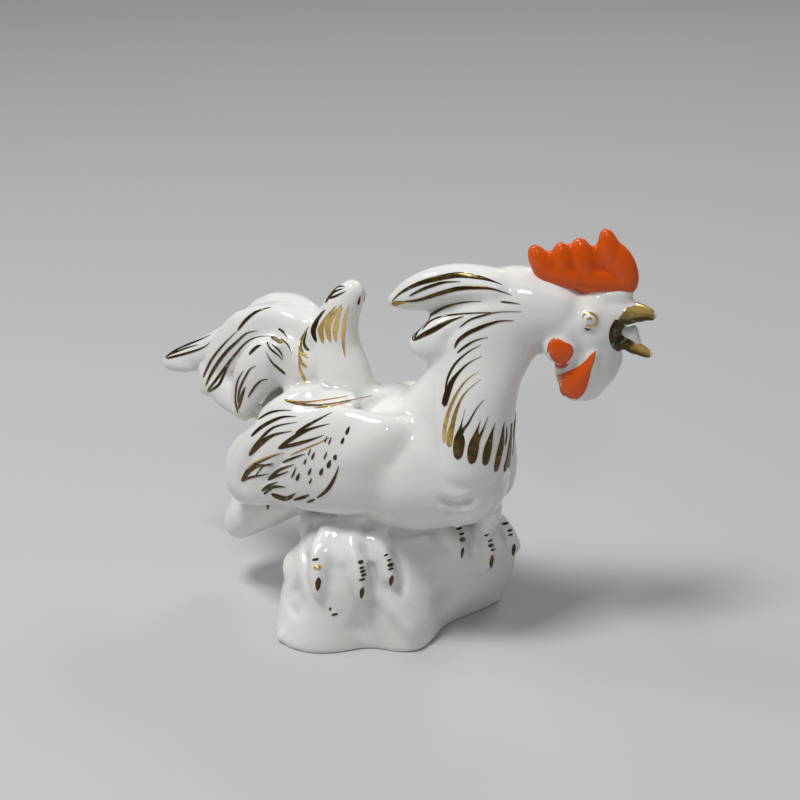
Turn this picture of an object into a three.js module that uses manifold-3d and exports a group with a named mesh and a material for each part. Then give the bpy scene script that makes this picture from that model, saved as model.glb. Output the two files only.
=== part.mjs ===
// A glazed porcelain rooster that crows from a rock, about 14 cm high, modelled as the castings
// that its maker lutes together with slip before the firing. Millimetres, +Z up, breast to +X.
import * as THREE from "three";
import { mergeVertices } from "three/addons/utils/BufferGeometryUtils.js";
import Module from "manifold-3d";

const wasm = await Module();
wasm.setup();

// Joints and walls
const SLIP_GAP = 0.3; // between two castings at a luted joint
const WALL = 3.4; // body and neck casting
const ROCK_WALL = 4.2;
const MOUTH_RADIUS = 8.5; // way through the crown of the rock and the belly
const MOUTH_PLACE = 0.06; // ahead of the body's middle, in body lengths

// Rock
const ROCK_HEIGHT = 40;
const ROCK_REACH = 50; // from its middle to the furthest point of its skin, and a little over
const ROCK_CENTRE_AHEAD = 5; // from the sketch's origin to the middle of the rock

// Body
const BODY_LENGTH = 82;
const BODY_WIDTH = 44;
const BODY_HEIGHT = 45;
const BODY_SEAT = 2.6; // depth of the belly below the crown of the rock
const BODY_CENTRE_AHEAD = 4;

// Neck, from the middle of the breast to the back of the head
const NECK_RISE = 49.5;
const NECK_REACH = 23;
const NECK_SWING = 15; // to the left
const NECK_DEPTH = 27; // breast to back
const NECK_WIDTH = 27;

// Hackle locks
const CREST_LOCK_LENGTH = 33.5;
const CREST_LOCK_DEPTH = 16;
const SIDE_LOCK_LENGTH = 22;
const SIDE_LOCK_DEPTH = 18;
const LOCK_THICKNESS = 13; // at the root
const SIDE_LOCK_SPACING = 7;

// Head: places on it are ahead of, left of and above its middle, which lies in the gape
const HEAD_YAW = 25; // degrees to the left
const HEAD_SEAT = { ahead: 6.2, left: 3.4, up: -6 }; // its middle from the top of the neck
const SKULL_LENGTH = 26;
const SKULL_WIDTH = 19;
const SKULL_HEIGHT = 23;
const POUCH_LENGTH = 20;
const POUCH_WIDTH = 16;
const POUCH_DROP = 24;
const EYE_RADIUS = 2.2;
const EYE_RELIEF = 1.2;
const EYE_PLACE = { ahead: 2.3, up: 7 };

// Comb, beak and tongue
const COMB_LENGTH = 30;
const COMB_HEIGHT = 19;
const COMB_THICKNESS = 8.4;
const BEAK_LENGTH = 13;
const BEAK_WIDTH = 10;
const BEAK_GAPE = 14; // between the tips
const BEAK_ROOT_DEPTH = 2; // inside the face
const TONGUE_LENGTH = 8;
const TONGUE_WIDTH = 5;
const TONGUE_ROOT_DEPTH = 3.4;
const TONGUE_DROP = 1.2; // below the middle of the gape

// Ear lobes and wattles
const EAR_LOBE_RADIUS = 5.1;
const EAR_LOBE_RELIEF = 2;
const EAR_LOBE_PLACE = { ahead: -6.3, up: -3.4 };
const WATTLE_LENGTH = 17;
const WATTLE_WIDTH = 10;
const WATTLE_THICKNESS = 5;
const WATTLE_PLACE = { ahead: -1, up: -4.5 }; // its upper end

// Wings
const WING_LENGTH = 60;
const WING_DEPTH = 38;
const WING_THICKNESS = 13;
const LEFT_WING_LEAD = 20; // how far the left wing sits ahead of the right one
const LEFT_WING_DROP = 6;

// Tail, plume, coverts and fluff
const TAIL_REACH = 61;
const TAIL_RISE = 30;
const TAIL_STEM_WIDTH = 24;
const FEATHER_DEPTH = 16;
const FEATHER_THICKNESS = 9;
const FEATHER_SPACING = 5.5;
const PLUME_HEIGHT = 41;
const PLUME_LENGTH = 30; // at its root, along the back
const PLUME_WIDTH = 24;
const COVERT_LENGTH = 24;
const COVERT_DEPTH = 10;
const COVERT_THICKNESS = 6;
const FLUFF_LENGTH = 34;
const FLUFF_DEPTH = 24;
const FLUFF_WIDTH = 32;

// Toes
const TOE_WIDTH = 7.6;
const TOE_RELIEF = 2.2; // how far a toe stands out of the rock

const DEGREE = Math.PI / 180;
const vec = (x, y, z) => new THREE.Vector3(x, y, z);
const UP = vec(0, 0, 1);
const AHEAD = vec(1, 0, 0);
const LEFT = vec(0, 1, 0);

// Solids that can be joined and cut

function solidOf(geometry) {
  geometry.deleteAttribute("normal");
  geometry.deleteAttribute("uv");
  const merged = mergeVertices(geometry, 1e-4);
  const vertProperties = new Float32Array(merged.attributes.position.array);
  const triVerts = new Uint32Array(merged.index.array);
  return new wasm.Manifold(new wasm.Mesh({ numProp: 3, vertProperties, triVerts }));
}

function geometryOf(solid) {
  const mesh = solid.getMesh();
  const geometry = new THREE.BufferGeometry();
  geometry.setAttribute("position", new THREE.BufferAttribute(mesh.vertProperties, 3));
  geometry.setIndex(new THREE.BufferAttribute(mesh.triVerts, 1));
  geometry.computeVertexNormals();
  return geometry;
}

const join = (...solids) => solids.reduce((sum, solid) => sum.add(solid));
const cut = (solid, ...tools) => tools.reduce((rest, tool) => rest.subtract(tool), solid);

// The piece that stays when a cut leaves crumbs on the far side of its tool
function mainPiece(solid) {
  const pieces = solid.decompose();
  return pieces.reduce((best, piece) => (piece.volume() > best.volume() ? piece : best));
}

// Closes a stack of rings of points with a pole at each end
function skinOfRings(rings, firstPole, lastPole) {
  const sides = rings[0].length;
  const points = [firstPole, ...rings.flat(), lastPole];
  const last = points.length - 1;
  const at = (ring, side) => 1 + ring * sides + (side % sides);
  const triangles = [];
  for (let side = 0; side < sides; side++) {
    triangles.push(0, at(0, side + 1), at(0, side));
    triangles.push(last, at(rings.length - 1, side), at(rings.length - 1, side + 1));
    for (let ring = 0; ring + 1 < rings.length; ring++) {
      const [a, b] = [at(ring, side), at(ring, side + 1)];
      const [c, d] = [at(ring + 1, side), at(ring + 1, side + 1)];
      triangles.push(a, b, d, a, d, c);
    }
  }
  const geometry = new THREE.BufferGeometry();
  const positions = points.flatMap((point) => [point.x, point.y, point.z]);
  geometry.setAttribute("position", new THREE.Float32BufferAttribute(positions, 3));
  geometry.setIndex(triangles);
  return solidOf(geometry);
}

// Value at t, from 0 to 1, of a smooth curve through evenly spaced values
function smoothValue(values, t) {
  const place = THREE.MathUtils.clamp(t, 0, 1) * (values.length - 1);
  const low = Math.min(Math.floor(place), values.length - 2);
  const near = (index) => values[THREE.MathUtils.clamp(index, 0, values.length - 1)];
  const [before, from, to, after] = [near(low - 1), near(low), near(low + 1), near(low + 2)];
  const share = place - low;
  const slope = to - before;
  const bend = 2 * before - 5 * from + 4 * to - after;
  const twist = 3 * (from - to) + after - before;
  return from + 0.5 * share * (slope + share * (bend + share * twist));
}

// A section of a loft: its centre, the way it faces, how far it reaches that way and the other
// way, and half its width across
const section = (at, toward, near, far, half) => ({ at, toward, near, far, half });

// A closed form through sections along a curved spine, domed at both ends
function loft(sections, { steps = 10, sides = 16, grow = 0, dome = 0.8 } = {}) {
  const spine = new THREE.CatmullRomCurve3(sections.map((one) => one.at));
  const value = (key, t) => smoothValue(sections.map((one) => one[key]), t) + grow;
  const facing = (t) => {
    const along = (axis) => smoothValue(sections.map((one) => one.toward[axis]), t);
    return vec(along("x"), along("y"), along("z"));
  };
  const ring = (t, shrink = 1, lift = 0) => {
    const tangent = spine.getTangent(t);
    const front = facing(t).projectOnPlane(tangent).normalize();
    const side = tangent.clone().cross(front);
    const centre = spine.getPoint(t).addScaledVector(tangent, lift);
    return Array.from({ length: sides }, (_, index) => {
      const angle = (2 * Math.PI * index) / sides;
      const reach = Math.sin(angle) * value(Math.sin(angle) > 0 ? "near" : "far", t);
      const across = -Math.cos(angle) * value("half", t);
      return centre
        .clone()
        .addScaledVector(front, reach * shrink)
        .addScaledVector(side, across * shrink);
    });
  };
  const domeHeight = (t) => dome * Math.min(value("near", t), value("far", t), value("half", t));
  const domeRing = (t, way, degrees) =>
    ring(t, Math.cos(degrees * DEGREE), way * domeHeight(t) * Math.sin(degrees * DEGREE));
  const pole = (t, way) => spine.getPoint(t).addScaledVector(spine.getTangent(t), way * domeHeight(t));
  const places = Array.from({ length: steps + 1 }, (_, step) => spine.getUtoTmapping(step / steps));
  const rings = [
    ...[60, 30].map((degrees) => domeRing(0, -1, degrees)),
    ...places.map((t) => ring(t)),
    ...[30, 60].map((degrees) => domeRing(1, 1, degrees)),
  ];
  return skinOfRings(rings, pole(0, -1), pole(1, 1));
}

const mirrored = (sections) =>
  sections.map((one) => ({
    ...one,
    at: one.at.clone().multiply(vec(1, -1, 1)),
    toward: one.toward.clone().multiply(vec(1, -1, 1)),
  }));

// Rock: a squat boulder with a ground foot

// Spokes seen from above: bearing in degrees, then how far the skin lies from the middle at the
// foot, waist, shoulder and crown, in hundredths of the rock's reach
const ROCK_SPOKES = [
  [-175, 62, 62, 52, 41],
  [-147, 67, 65, 52, 41],
  [-122, 76, 66, 60, 43],
  [-104, 71, 64, 60, 44],
  [-70, 46, 48, 48, 36],
  [-36, 55, 52, 43, 28],
  [2, 46, 49, 50, 32],
  [24, 56, 68, 67, 43],
  [43, 85, 94, 84, 54],
  [72, 74, 74, 68, 48],
  [108, 66, 62, 60, 44],
  [145, 70, 66, 62, 44],
];
const FOOT = 0;
const CROWN = 4;
// Reach of each level from the foot to the crown, as a column of the spokes, and its height in
// shares of the rock's: the lowest band stands upright where the foot is ground
const ROCK_LEVELS = [
  { column: 1, height: 0 },
  { column: 1, height: 0.05 },
  { column: 2, height: 0.35 },
  { column: 3, height: 0.72 },
  { column: 4, height: 0.96 },
];

function rockReach(bearing, column) {
  const count = ROCK_SPOKES.length;
  const spoke = (index) => {
    const rounds = Math.floor(index / count);
    const [angle, ...reaches] = ROCK_SPOKES[index - rounds * count];
    return { angle: angle + 360 * rounds, reach: (reaches[column - 1] / 100) * ROCK_REACH };
  };
  const [first] = ROCK_SPOKES[0];
  const wrapped = first + THREE.MathUtils.euclideanModulo(bearing - first, 360);
  const next = Array.from({ length: count + 1 }, (_, index) => index).find(
    (index) => spoke(index).angle > wrapped,
  );
  const [before, from, to, after] = [next - 2, next - 1, next, next + 1].map(spoke);
  const share = (wrapped - from.angle) / (to.angle - from.angle);
  return smoothValue([before.reach, from.reach, to.reach, after.reach], (1 + share) / 3);
}

// Point of the rock's skin at a bearing and a level, from the foot to the crown
function rockPoint(bearing, level, grow = 0, top = ROCK_HEIGHT) {
  const share = (level - FOOT) / (CROWN - FOOT);
  const reach = smoothValue(ROCK_LEVELS.map(({ column }) => rockReach(bearing, column)), share);
  const height = smoothValue(ROCK_LEVELS.map((one) => one.height), share);
  return vec(
    ROCK_CENTRE_AHEAD + (reach + grow) * Math.cos(bearing * DEGREE),
    (reach + grow) * Math.sin(bearing * DEGREE),
    height * top,
  );
}

function rockForm(grow = 0, top = ROCK_HEIGHT) {
  const sides = 36;
  const ring = (level) =>
    Array.from({ length: sides }, (_, index) => rockPoint((360 * index) / sides, level, grow, top));
  const rings = [0, 1, 1.5, 2, 2.5, 3, 3.5, 4].map(ring);
  const run = Math.abs(grow); // a grown rock or its hollow runs past the ground
  rings[0].forEach((point) => point.setZ(-run));
  const pole = (height) => vec(ROCK_CENTRE_AHEAD, 0, height);
  return skinOfRings(rings, pole(-run), pole(top + Math.max(grow, 0)));
}

// Body: an egg along +X

const BELLY = ROCK_HEIGHT - BODY_SEAT;
const bodyPoint = (ahead, left, up) =>
  vec(BODY_CENTRE_AHEAD + ahead * BODY_LENGTH, left * BODY_WIDTH, BELLY + (0.5 + up) * BODY_HEIGHT);

// From rump to breast, in shares: ahead, centre's rise, reach up, reach down, half width
const BODY_SECTIONS = [
  [-0.44, 0.12, 0.2, 0.22, 0.24],
  [-0.3, 0.06, 0.36, 0.38, 0.41],
  [-0.1, 0.02, 0.46, 0.49, 0.49],
  [0.1, 0, 0.52, 0.5, 0.5],
  [0.28, -0.01, 0.57, 0.46, 0.49],
  [0.41, -0.03, 0.37, 0.34, 0.36],
];

function bodyForm(grow = 0) {
  const sections = BODY_SECTIONS.map(([ahead, rise, top, bottom, half]) =>
    section(
      bodyPoint(ahead, 0, rise),
      UP,
      top * BODY_HEIGHT,
      bottom * BODY_HEIGHT,
      half * BODY_WIDTH,
    ),
  );
  return loft(sections, { steps: 11, sides: 24, grow });
}

// Neck: rises from the breast and bends ahead and to the left

const NECK_ROOT = bodyPoint(0.4, -0.02, 0.13);
const neckPoint = (reach, swing, rise) =>
  NECK_ROOT.clone().add(vec(reach * NECK_REACH, swing * NECK_SWING, rise * NECK_RISE));

// From breast to nape, in shares: centre, the way to the throat, then the reach to the throat,
// the reach to the back and the half width
const NECK_SECTIONS = [
  { at: [0, 0, 0], throat: [1, 0, 0], size: [0.52, 0.95, 0.55] },
  { at: [0.07, 0.03, 0.25], throat: [1, 0, 0.05], size: [0.5, 0.98, 0.5] },
  { at: [0.12, 0.09, 0.49], throat: [1, 0.1, 0], size: [0.47, 0.66, 0.43] },
  { at: [0.16, 0.26, 0.71], throat: [0.9, 0.3, -0.3], size: [0.52, 0.56, 0.39] },
  { at: [0.4, 0.52, 0.955], throat: [0.45, 0.2, -0.85], size: [0.54, 0.63, 0.35] },
  { at: [0.74, 0.8, 1.02], throat: [0.15, 0, -1], size: [0.46, 0.48, 0.34] },
  { at: [1, 1, 1], throat: [0.05, 0, -1], size: [0.41, 0.41, 0.33] },
];

function neckForm(grow = 0) {
  const sections = NECK_SECTIONS.map(({ at, throat, size: [near, far, half] }) =>
    section(
      neckPoint(...at),
      vec(...throat).normalize(),
      near * NECK_DEPTH,
      far * NECK_DEPTH,
      half * NECK_WIDTH,
    ),
  );
  return loft(sections, { steps: 12, sides: 20, grow });
}

// Hackle locks: feathers that fly back off the nape

// Along a lock, in shares: how far back, outward and down, then its depth and its thickness
const CREST_LOCK_COURSE = [
  [0, 0, 0, 1, 1],
  [0.36, 0.1, -0.03, 0.94, 0.9],
  [0.69, 0.15, 0.075, 0.8, 0.7],
  [0.91, 0.15, 0.18, 0.5, 0.46],
  [1, 0.15, 0.23, 0.28, 0.3],
];
const SIDE_LOCK_COURSE = [
  [0, 0, 0, 1, 0.9],
  [0.5, 0.14, 0.09, 0.9, 0.76],
  [0.82, 0.18, 0.23, 0.66, 0.6],
  [1, 0.18, 0.27, 0.36, 0.36],
];

function lockForm(root, course, length, depth, side, grow) {
  const sections = course.map(([back, out, down, deep, thick]) =>
    section(
      root.clone().add(vec(-back, side * out, -down).multiplyScalar(length)),
      UP,
      (deep * depth) / 2,
      (deep * depth) / 2,
      (thick * LOCK_THICKNESS) / 2,
    ),
  );
  return loft(sections, { steps: 7, sides: 12, grow });
}

function crestLock(grow = 0) {
  const root = neckPoint(0.3, 0.33, 1.12);
  return lockForm(root, CREST_LOCK_COURSE, CREST_LOCK_LENGTH, CREST_LOCK_DEPTH, -1, grow);
}

function sideLock(side, grow = 0) {
  const root = neckPoint(0.22, 0.3, 0.85).add(vec(0, (side * SIDE_LOCK_SPACING) / 2, 0));
  return lockForm(root, SIDE_LOCK_COURSE, SIDE_LOCK_LENGTH, SIDE_LOCK_DEPTH, side, grow);
}

// Head: skull, throat pouch and eyes

const HEAD_CENTRE = neckPoint(1, 1, 1).add(vec(HEAD_SEAT.ahead, HEAD_SEAT.left, HEAD_SEAT.up));
const HEAD_AHEAD = AHEAD.clone().applyAxisAngle(UP, HEAD_YAW * DEGREE);
const HEAD_LEFT = LEFT.clone().applyAxisAngle(UP, HEAD_YAW * DEGREE);
const headPoint = (ahead, left, up) =>
  HEAD_CENTRE.clone()
    .addScaledVector(HEAD_AHEAD, ahead)
    .addScaledVector(HEAD_LEFT, left)
    .addScaledVector(UP, up);

// From nape to brow, in shares: ahead, reach up, reach down, half width
const SKULL_SECTIONS = [
  [-0.4, 0.44, 0.4, 0.44],
  [-0.16, 0.54, 0.48, 0.5],
  [0.1, 0.54, 0.5, 0.47],
  [0.3, 0.46, 0.4, 0.36],
];
// From the skull down: drop, reach ahead, reach back, half width
const POUCH_SECTIONS = [
  [0.16, 0.56, 0.4, 0.53],
  [0.4, 0.57, 0.42, 0.52],
  [0.66, 0.5, 0.42, 0.48],
  [0.84, 0.34, 0.32, 0.36],
];
const BROW = 0.44 * SKULL_LENGTH; // where the beak leaves the face

function headForm(grow = 0) {
  const skull = SKULL_SECTIONS.map(([ahead, top, bottom, half]) =>
    section(
      headPoint(ahead * SKULL_LENGTH, 0, 0.02 * SKULL_HEIGHT),
      UP,
      top * SKULL_HEIGHT,
      bottom * SKULL_HEIGHT,
      half * SKULL_WIDTH,
    ),
  );
  const pouch = POUCH_SECTIONS.map(([drop, front, back, half]) =>
    section(
      headPoint(0.03 * POUCH_LENGTH, 0, -drop * POUCH_DROP),
      HEAD_AHEAD,
      front * POUCH_LENGTH,
      back * POUCH_LENGTH,
      half * POUCH_WIDTH,
    ),
  );
  return join(
    loft(skull, { steps: 6, sides: 16, grow, dome: 0.55 }),
    loft(pouch, { steps: 5, sides: 16, grow, dome: 0.6 }),
    eyeForm(-1, grow),
    eyeForm(1, grow),
  );
}

function eyeForm(side, grow) {
  const skin = 0.4 * SKULL_WIDTH;
  const at = (out) => headPoint(EYE_PLACE.ahead, side * (skin + out), EYE_PLACE.up);
  const round = (out, radius) => section(at(out), UP, radius, radius, radius);
  const sections = [round(-EYE_RELIEF, EYE_RADIUS), round(0.75 * EYE_RELIEF, 0.8 * EYE_RADIUS)];
  return loft(sections, { steps: 1, sides: 12, grow, dome: 0.5 });
}

// Comb: points on a thick ridge over the skull

// From the back: where each point starts and ends along the comb, how high it ends, and its
// radius, in shares of the comb's length and height
const COMB_POINTS = [
  { root: -0.38, tip: -0.48, rise: 0.63, radius: 0.1 },
  { root: -0.2, tip: -0.23, rise: 0.66, radius: 0.1 },
  { root: 0, tip: -0.06, rise: 0.73, radius: 0.11 },
  { root: 0.24, tip: 0.19, rise: 0.92, radius: 0.095 },
  { root: 0.32, tip: 0.29, rise: 0.7, radius: 0.12 },
  { root: 0.41, tip: 0.42, rise: 0.47, radius: 0.12 },
];
// From the back: place, rise of the centre, reach up, reach down, half thickness
const COMB_RIDGE = [
  [-0.42, 0.46, 0.16, 0.2, 0.4],
  [-0.2, 0.36, 0.24, 0.26, 0.47],
  [0.06, 0.3, 0.36, 0.3, 0.5],
  [0.3, 0.32, 0.4, 0.32, 0.5],
  [0.44, 0.3, 0.28, 0.26, 0.44],
];

const combPoint = (along, rise) =>
  headPoint(along * COMB_LENGTH, 0, 0.54 * SKULL_HEIGHT + rise * COMB_HEIGHT);

function combForm(grow = 0) {
  const spikes = COMB_POINTS.map(({ root, tip, rise, radius }) => {
    const [from, to] = [combPoint(root, 0.2), combPoint(tip, rise)];
    const size = radius * COMB_LENGTH;
    const sections = [
      section(from, HEAD_AHEAD, 1.3 * size, 1.3 * size, 0.54 * COMB_THICKNESS),
      section(from.clone().lerp(to, 0.6), HEAD_AHEAD, 1.15 * size, 1.15 * size, 0.5 * COMB_THICKNESS),
      section(to, HEAD_AHEAD, 0.9 * size, 0.9 * size, 0.36 * COMB_THICKNESS),
    ];
    return loft(sections, { steps: 3, sides: 10, grow, dome: 0.95 });
  });
  const ridge = COMB_RIDGE.map(([along, rise, top, bottom, half]) =>
    section(
      combPoint(along, rise),
      UP,
      top * COMB_HEIGHT,
      bottom * COMB_HEIGHT,
      half * COMB_THICKNESS,
    ),
  );
  return join(loft(ridge, { steps: 6, sides: 12, grow }), ...spikes);
}

// Beak: two horns that open round the tongue

// Along each half, in shares: how far ahead, rise or drop in gapes, reach up, reach down, and
// half width, the last three in beak widths
const UPPER_BEAK_COURSE = [
  [-0.1, 0.4, 0.62, 0.5, 0.5],
  [0.3, 0.42, 0.42, 0.38, 0.42],
  [0.66, 0.42, 0.26, 0.24, 0.3],
  [0.9, 0.36, 0.17, 0.15, 0.17],
];
const LOWER_BEAK_COURSE = [
  [-0.1, -0.3, 0.3, 0.34, 0.48],
  [0.3, -0.37, 0.24, 0.26, 0.4],
  [0.62, -0.45, 0.2, 0.2, 0.3],
  [0.9, -0.53, 0.14, 0.13, 0.18],
];

function beakForm(course, grow = 0) {
  const sections = course.map(([ahead, rise, top, bottom, half]) =>
    section(
      headPoint(BROW - BEAK_ROOT_DEPTH + ahead * BEAK_LENGTH, 0, rise * BEAK_GAPE),
      UP,
      top * BEAK_WIDTH,
      bottom * BEAK_WIDTH,
      half * BEAK_WIDTH,
    ),
  );
  return loft(sections, { steps: 6, sides: 12, grow });
}

function tongueForm(grow = 0) {
  const course = [
    [0, 0, 1],
    [0.6, -0.12, 1],
    [1, -0.18, 0.8],
  ];
  const root = BROW - TONGUE_ROOT_DEPTH;
  const sections = course.map(([ahead, rise, size]) =>
    section(
      headPoint(root + ahead * TONGUE_LENGTH, 0, rise * TONGUE_LENGTH - TONGUE_DROP),
      UP,
      0.5 * size * TONGUE_WIDTH,
      0.34 * size * TONGUE_WIDTH,
      0.5 * size * TONGUE_WIDTH,
    ),
  );
  return loft(sections, { steps: 3, sides: 10, grow });
}

// Ear lobes and wattles

function earLobeForm(side, grow = 0) {
  const skin = 0.42 * SKULL_WIDTH;
  const at = (out) => headPoint(EAR_LOBE_PLACE.ahead, side * (skin + out), EAR_LOBE_PLACE.up);
  const round = (out, radius) => section(at(out), UP, radius, radius, radius);
  const sections = [
    round(-0.5 * EAR_LOBE_RELIEF, EAR_LOBE_RADIUS),
    round(0.6 * EAR_LOBE_RELIEF, 0.9 * EAR_LOBE_RADIUS),
  ];
  return loft(sections, { steps: 1, sides: 16, grow, dome: 0.3 });
}

// Down a wattle, in shares: ahead of its seat in wattle widths, drop, half width
const WATTLE_COURSE = [
  [0.5, 0, 0.1],
  [0.34, 0.3, 0.24],
  [-0.02, 0.62, 0.5],
  [-0.14, 0.84, 0.4],
];

function wattleForm(side, grow = 0) {
  const out = HEAD_LEFT.clone().multiplyScalar(side);
  const sections = WATTLE_COURSE.map(([ahead, drop, half], index) =>
    section(
      headPoint(
        WATTLE_PLACE.ahead + ahead * WATTLE_WIDTH,
        side * (0.5 - 0.02 * index) * POUCH_WIDTH,
        WATTLE_PLACE.up - drop * WATTLE_LENGTH,
      ),
      out,
      0.44 * WATTLE_THICKNESS,
      0.5 * WATTLE_THICKNESS,
      half * WATTLE_WIDTH,
    ),
  );
  return loft(sections, { steps: 6, sides: 12, grow, dome: 0.7 });
}

// Wings: folded, with the tips drooping past the rump

// Back along a wing, in shares: back, outward in thicknesses, drop, reach up, reach down, and
// half thickness
const WING_COURSE = [
  [0, -0.2, 0, 0.4, 0.36, 0.4],
  [0.22, 0.16, 0.02, 0.48, 0.48, 0.54],
  [0.48, 0.3, 0.08, 0.5, 0.5, 0.5],
  [0.72, 0.4, 0.24, 0.42, 0.4, 0.4],
  [0.9, 0.4, 0.44, 0.3, 0.25, 0.3],
  [0.98, 0.36, 0.56, 0.15, 0.15, 0.2],
];

function wingForm(side, grow = 0) {
  const root = bodyPoint(0.22, -0.38, 0.14);
  const right = WING_COURSE.map(([back, out, drop, top, bottom, half]) =>
    section(
      root.clone().add(vec(-back * WING_LENGTH, -out * WING_THICKNESS, -drop * WING_DEPTH)),
      UP,
      top * WING_DEPTH,
      bottom * WING_DEPTH,
      half * WING_THICKNESS,
    ),
  );
  if (side < 0) return loft(right, { steps: 10, sides: 16, grow });
  const left = mirrored(right);
  left.forEach((one) => one.at.add(vec(LEFT_WING_LEAD, 0, -LEFT_WING_DROP)));
  return loft(left, { steps: 10, sides: 16, grow });
}

// Saddle plume: a horn of feathers that stands on the back

const PLUME_ROOT = bodyPoint(-0.16, -0.06, 0.32);
// Up the plume, in shares: ahead and left in root lengths, rise, reach ahead, reach back, half
// width
const PLUME_COURSE = [
  [0, 0, 0, 0.5, 0.5, 0.5],
  [-0.02, 0, 0.27, 0.43, 0.43, 0.38],
  [-0.05, 0.02, 0.52, 0.32, 0.34, 0.28],
  [0.02, 0.03, 0.74, 0.22, 0.24, 0.22],
  [0.12, 0.04, 0.91, 0.18, 0.18, 0.19],
  [0.19, 0.04, 0.99, 0.14, 0.13, 0.15],
];

function plumeForm(grow = 0) {
  const sections = PLUME_COURSE.map(([ahead, left, rise, front, back, half]) =>
    section(
      PLUME_ROOT.clone().add(vec(ahead * PLUME_LENGTH, left * PLUME_LENGTH, rise * PLUME_HEIGHT)),
      AHEAD,
      front * PLUME_LENGTH,
      back * PLUME_LENGTH,
      half * PLUME_WIDTH,
    ),
  );
  return loft(sections, { steps: 9, sides: 14, grow });
}

// Tail: a stem that carries a sickle feather and two pairs of drooping feathers

const TAIL_ROOT = bodyPoint(-0.26, 0, 0.18);
const tailPoint = (back, left, rise) =>
  TAIL_ROOT.clone().add(vec(-back * TAIL_REACH, left * FEATHER_SPACING, rise * TAIL_RISE));

// Along each feather, in shares: back, left in spacings, rise, depth
const SICKLE_COURSE = [
  [0.05, 0.3, 0.97, 1],
  [0.23, 0.5, 1.1, 1],
  [0.48, 0.5, 0.66, 1],
  [0.745, 0.5, 0.37, 0.74],
  [0.99, 0.4, 0.18, 0.36],
];
const INNER_COURSE = [
  [0.01, 0.8, 0.8, 1.1],
  [0.21, 1, 1, 1.2],
  [0.405, 1.1, 0.8, 1.1],
  [0.57, 1.1, 0.4, 0.86],
  [0.68, 1, 0.05, 0.4],
];
const OUTER_COURSE = [
  [-0.02, 1.5, 0.6, 1],
  [0.14, 1.9, 0.73, 1.1],
  [0.27, 2.1, 0.53, 1],
  [0.355, 2.1, 0.2, 0.74],
  [0.4, 1.8, -0.08, 0.36],
];

function featherForm(course, side, thickness, grow) {
  const sections = course.map(([back, left, rise, depth], index) =>
    section(
      tailPoint(back, side * left, rise),
      UP,
      (depth * FEATHER_DEPTH) / 2,
      (depth * FEATHER_DEPTH) / 2,
      (thickness / 2) * (1 - 0.12 * index),
    ),
  );
  return loft(sections, { steps: 9, sides: 12, grow });
}

function tailForm(grow = 0) {
  const width = TAIL_STEM_WIDTH / 2;
  const stem = [
    section(tailPoint(-0.06, 0, 0), AHEAD, width, width, width),
    section(tailPoint(0.02, 0, 0.5), AHEAD, 0.95 * width, 0.95 * width, 0.85 * width),
    section(tailPoint(0.1, 0, 0.88), AHEAD, 0.8 * width, 0.8 * width, 0.65 * width),
  ];
  return join(
    loft(stem, { steps: 4, sides: 14, grow }),
    featherForm(SICKLE_COURSE, 1, 1.2 * FEATHER_THICKNESS, grow),
  );
}

// Coverts: short feathers that curl up beside the tail

// Up a covert, in shares of its length: back, outward and rise, then its depth
const COVERT_COURSE = [
  [-0.12, -0.1, -0.12, 1],
  [0.12, 0, 0.16, 1],
  [0.28, 0.1, 0.44, 0.86],
  [0.3, 0.12, 0.72, 0.5],
];
const COVERT_PLACE = 2; // out from the tail's middle, in feather spacings

function covertForm(side, grow = 0) {
  const root = tailPoint(0, side * COVERT_PLACE, 0.35);
  const sections = COVERT_COURSE.map(([back, out, rise, depth]) =>
    section(
      root.clone().add(vec(-back, side * out, rise).multiplyScalar(COVERT_LENGTH)),
      AHEAD,
      (depth * COVERT_DEPTH) / 2,
      (depth * COVERT_DEPTH) / 2,
      COVERT_THICKNESS / 2,
    ),
  );
  return loft(sections, { steps: 5, sides: 10, grow });
}

// Rump fluff: a bunch of down that hangs behind the rock

const FLUFF_COURSE = [
  [0, 0, 0, 1],
  [0.4, -0.06, 0.28, 0.9],
  [0.7, -0.14, 0.56, 0.74],
  [0.84, -0.18, 0.74, 0.5],
];

function fluffForm(grow = 0) {
  const root = bodyPoint(-0.26, -0.02, -0.24);
  const sections = FLUFF_COURSE.map(([back, left, drop, size]) =>
    section(
      root.clone().add(vec(-back, left, -drop).multiplyScalar(FLUFF_LENGTH)),
      UP,
      (size * FLUFF_DEPTH) / 2,
      (size * FLUFF_DEPTH) / 2,
      (size * FLUFF_WIDTH) / 2,
    ),
  );
  return loft(sections, { steps: 6, sides: 16, grow });
}

// Feet: three toes each, that grip the edge of the rock

// Bearing of each toe at the crown and at its claw, and the claw's level on the rock
const RIGHT_TOES = [
  { knuckle: -111, claw: -99, level: 2.5 },
  { knuckle: -86, claw: -73, level: 2.5 },
  { knuckle: -64, claw: -54, level: 2.85 },
];
const LEFT_TOES = [
  { knuckle: 15, claw: 9, level: 3 },
  { knuckle: 32, claw: 24, level: 2.4 },
  { knuckle: 47, claw: 41, level: 2.4 },
];
// Along a toe: share of the way to the claw, share of its width
const TOE_COURSE = [
  [0, 1.1],
  [0.3, 1.05],
  [0.65, 0.9],
  [1, 0.5],
];

// Way out of the rock at a bearing, from its crown (0) to its side (1)
function outOfRock(bearing, share) {
  const outward = AHEAD.clone().applyAxisAngle(UP, bearing * DEGREE);
  return outward.addScaledVector(UP, 1 - share).normalize();
}

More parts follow.
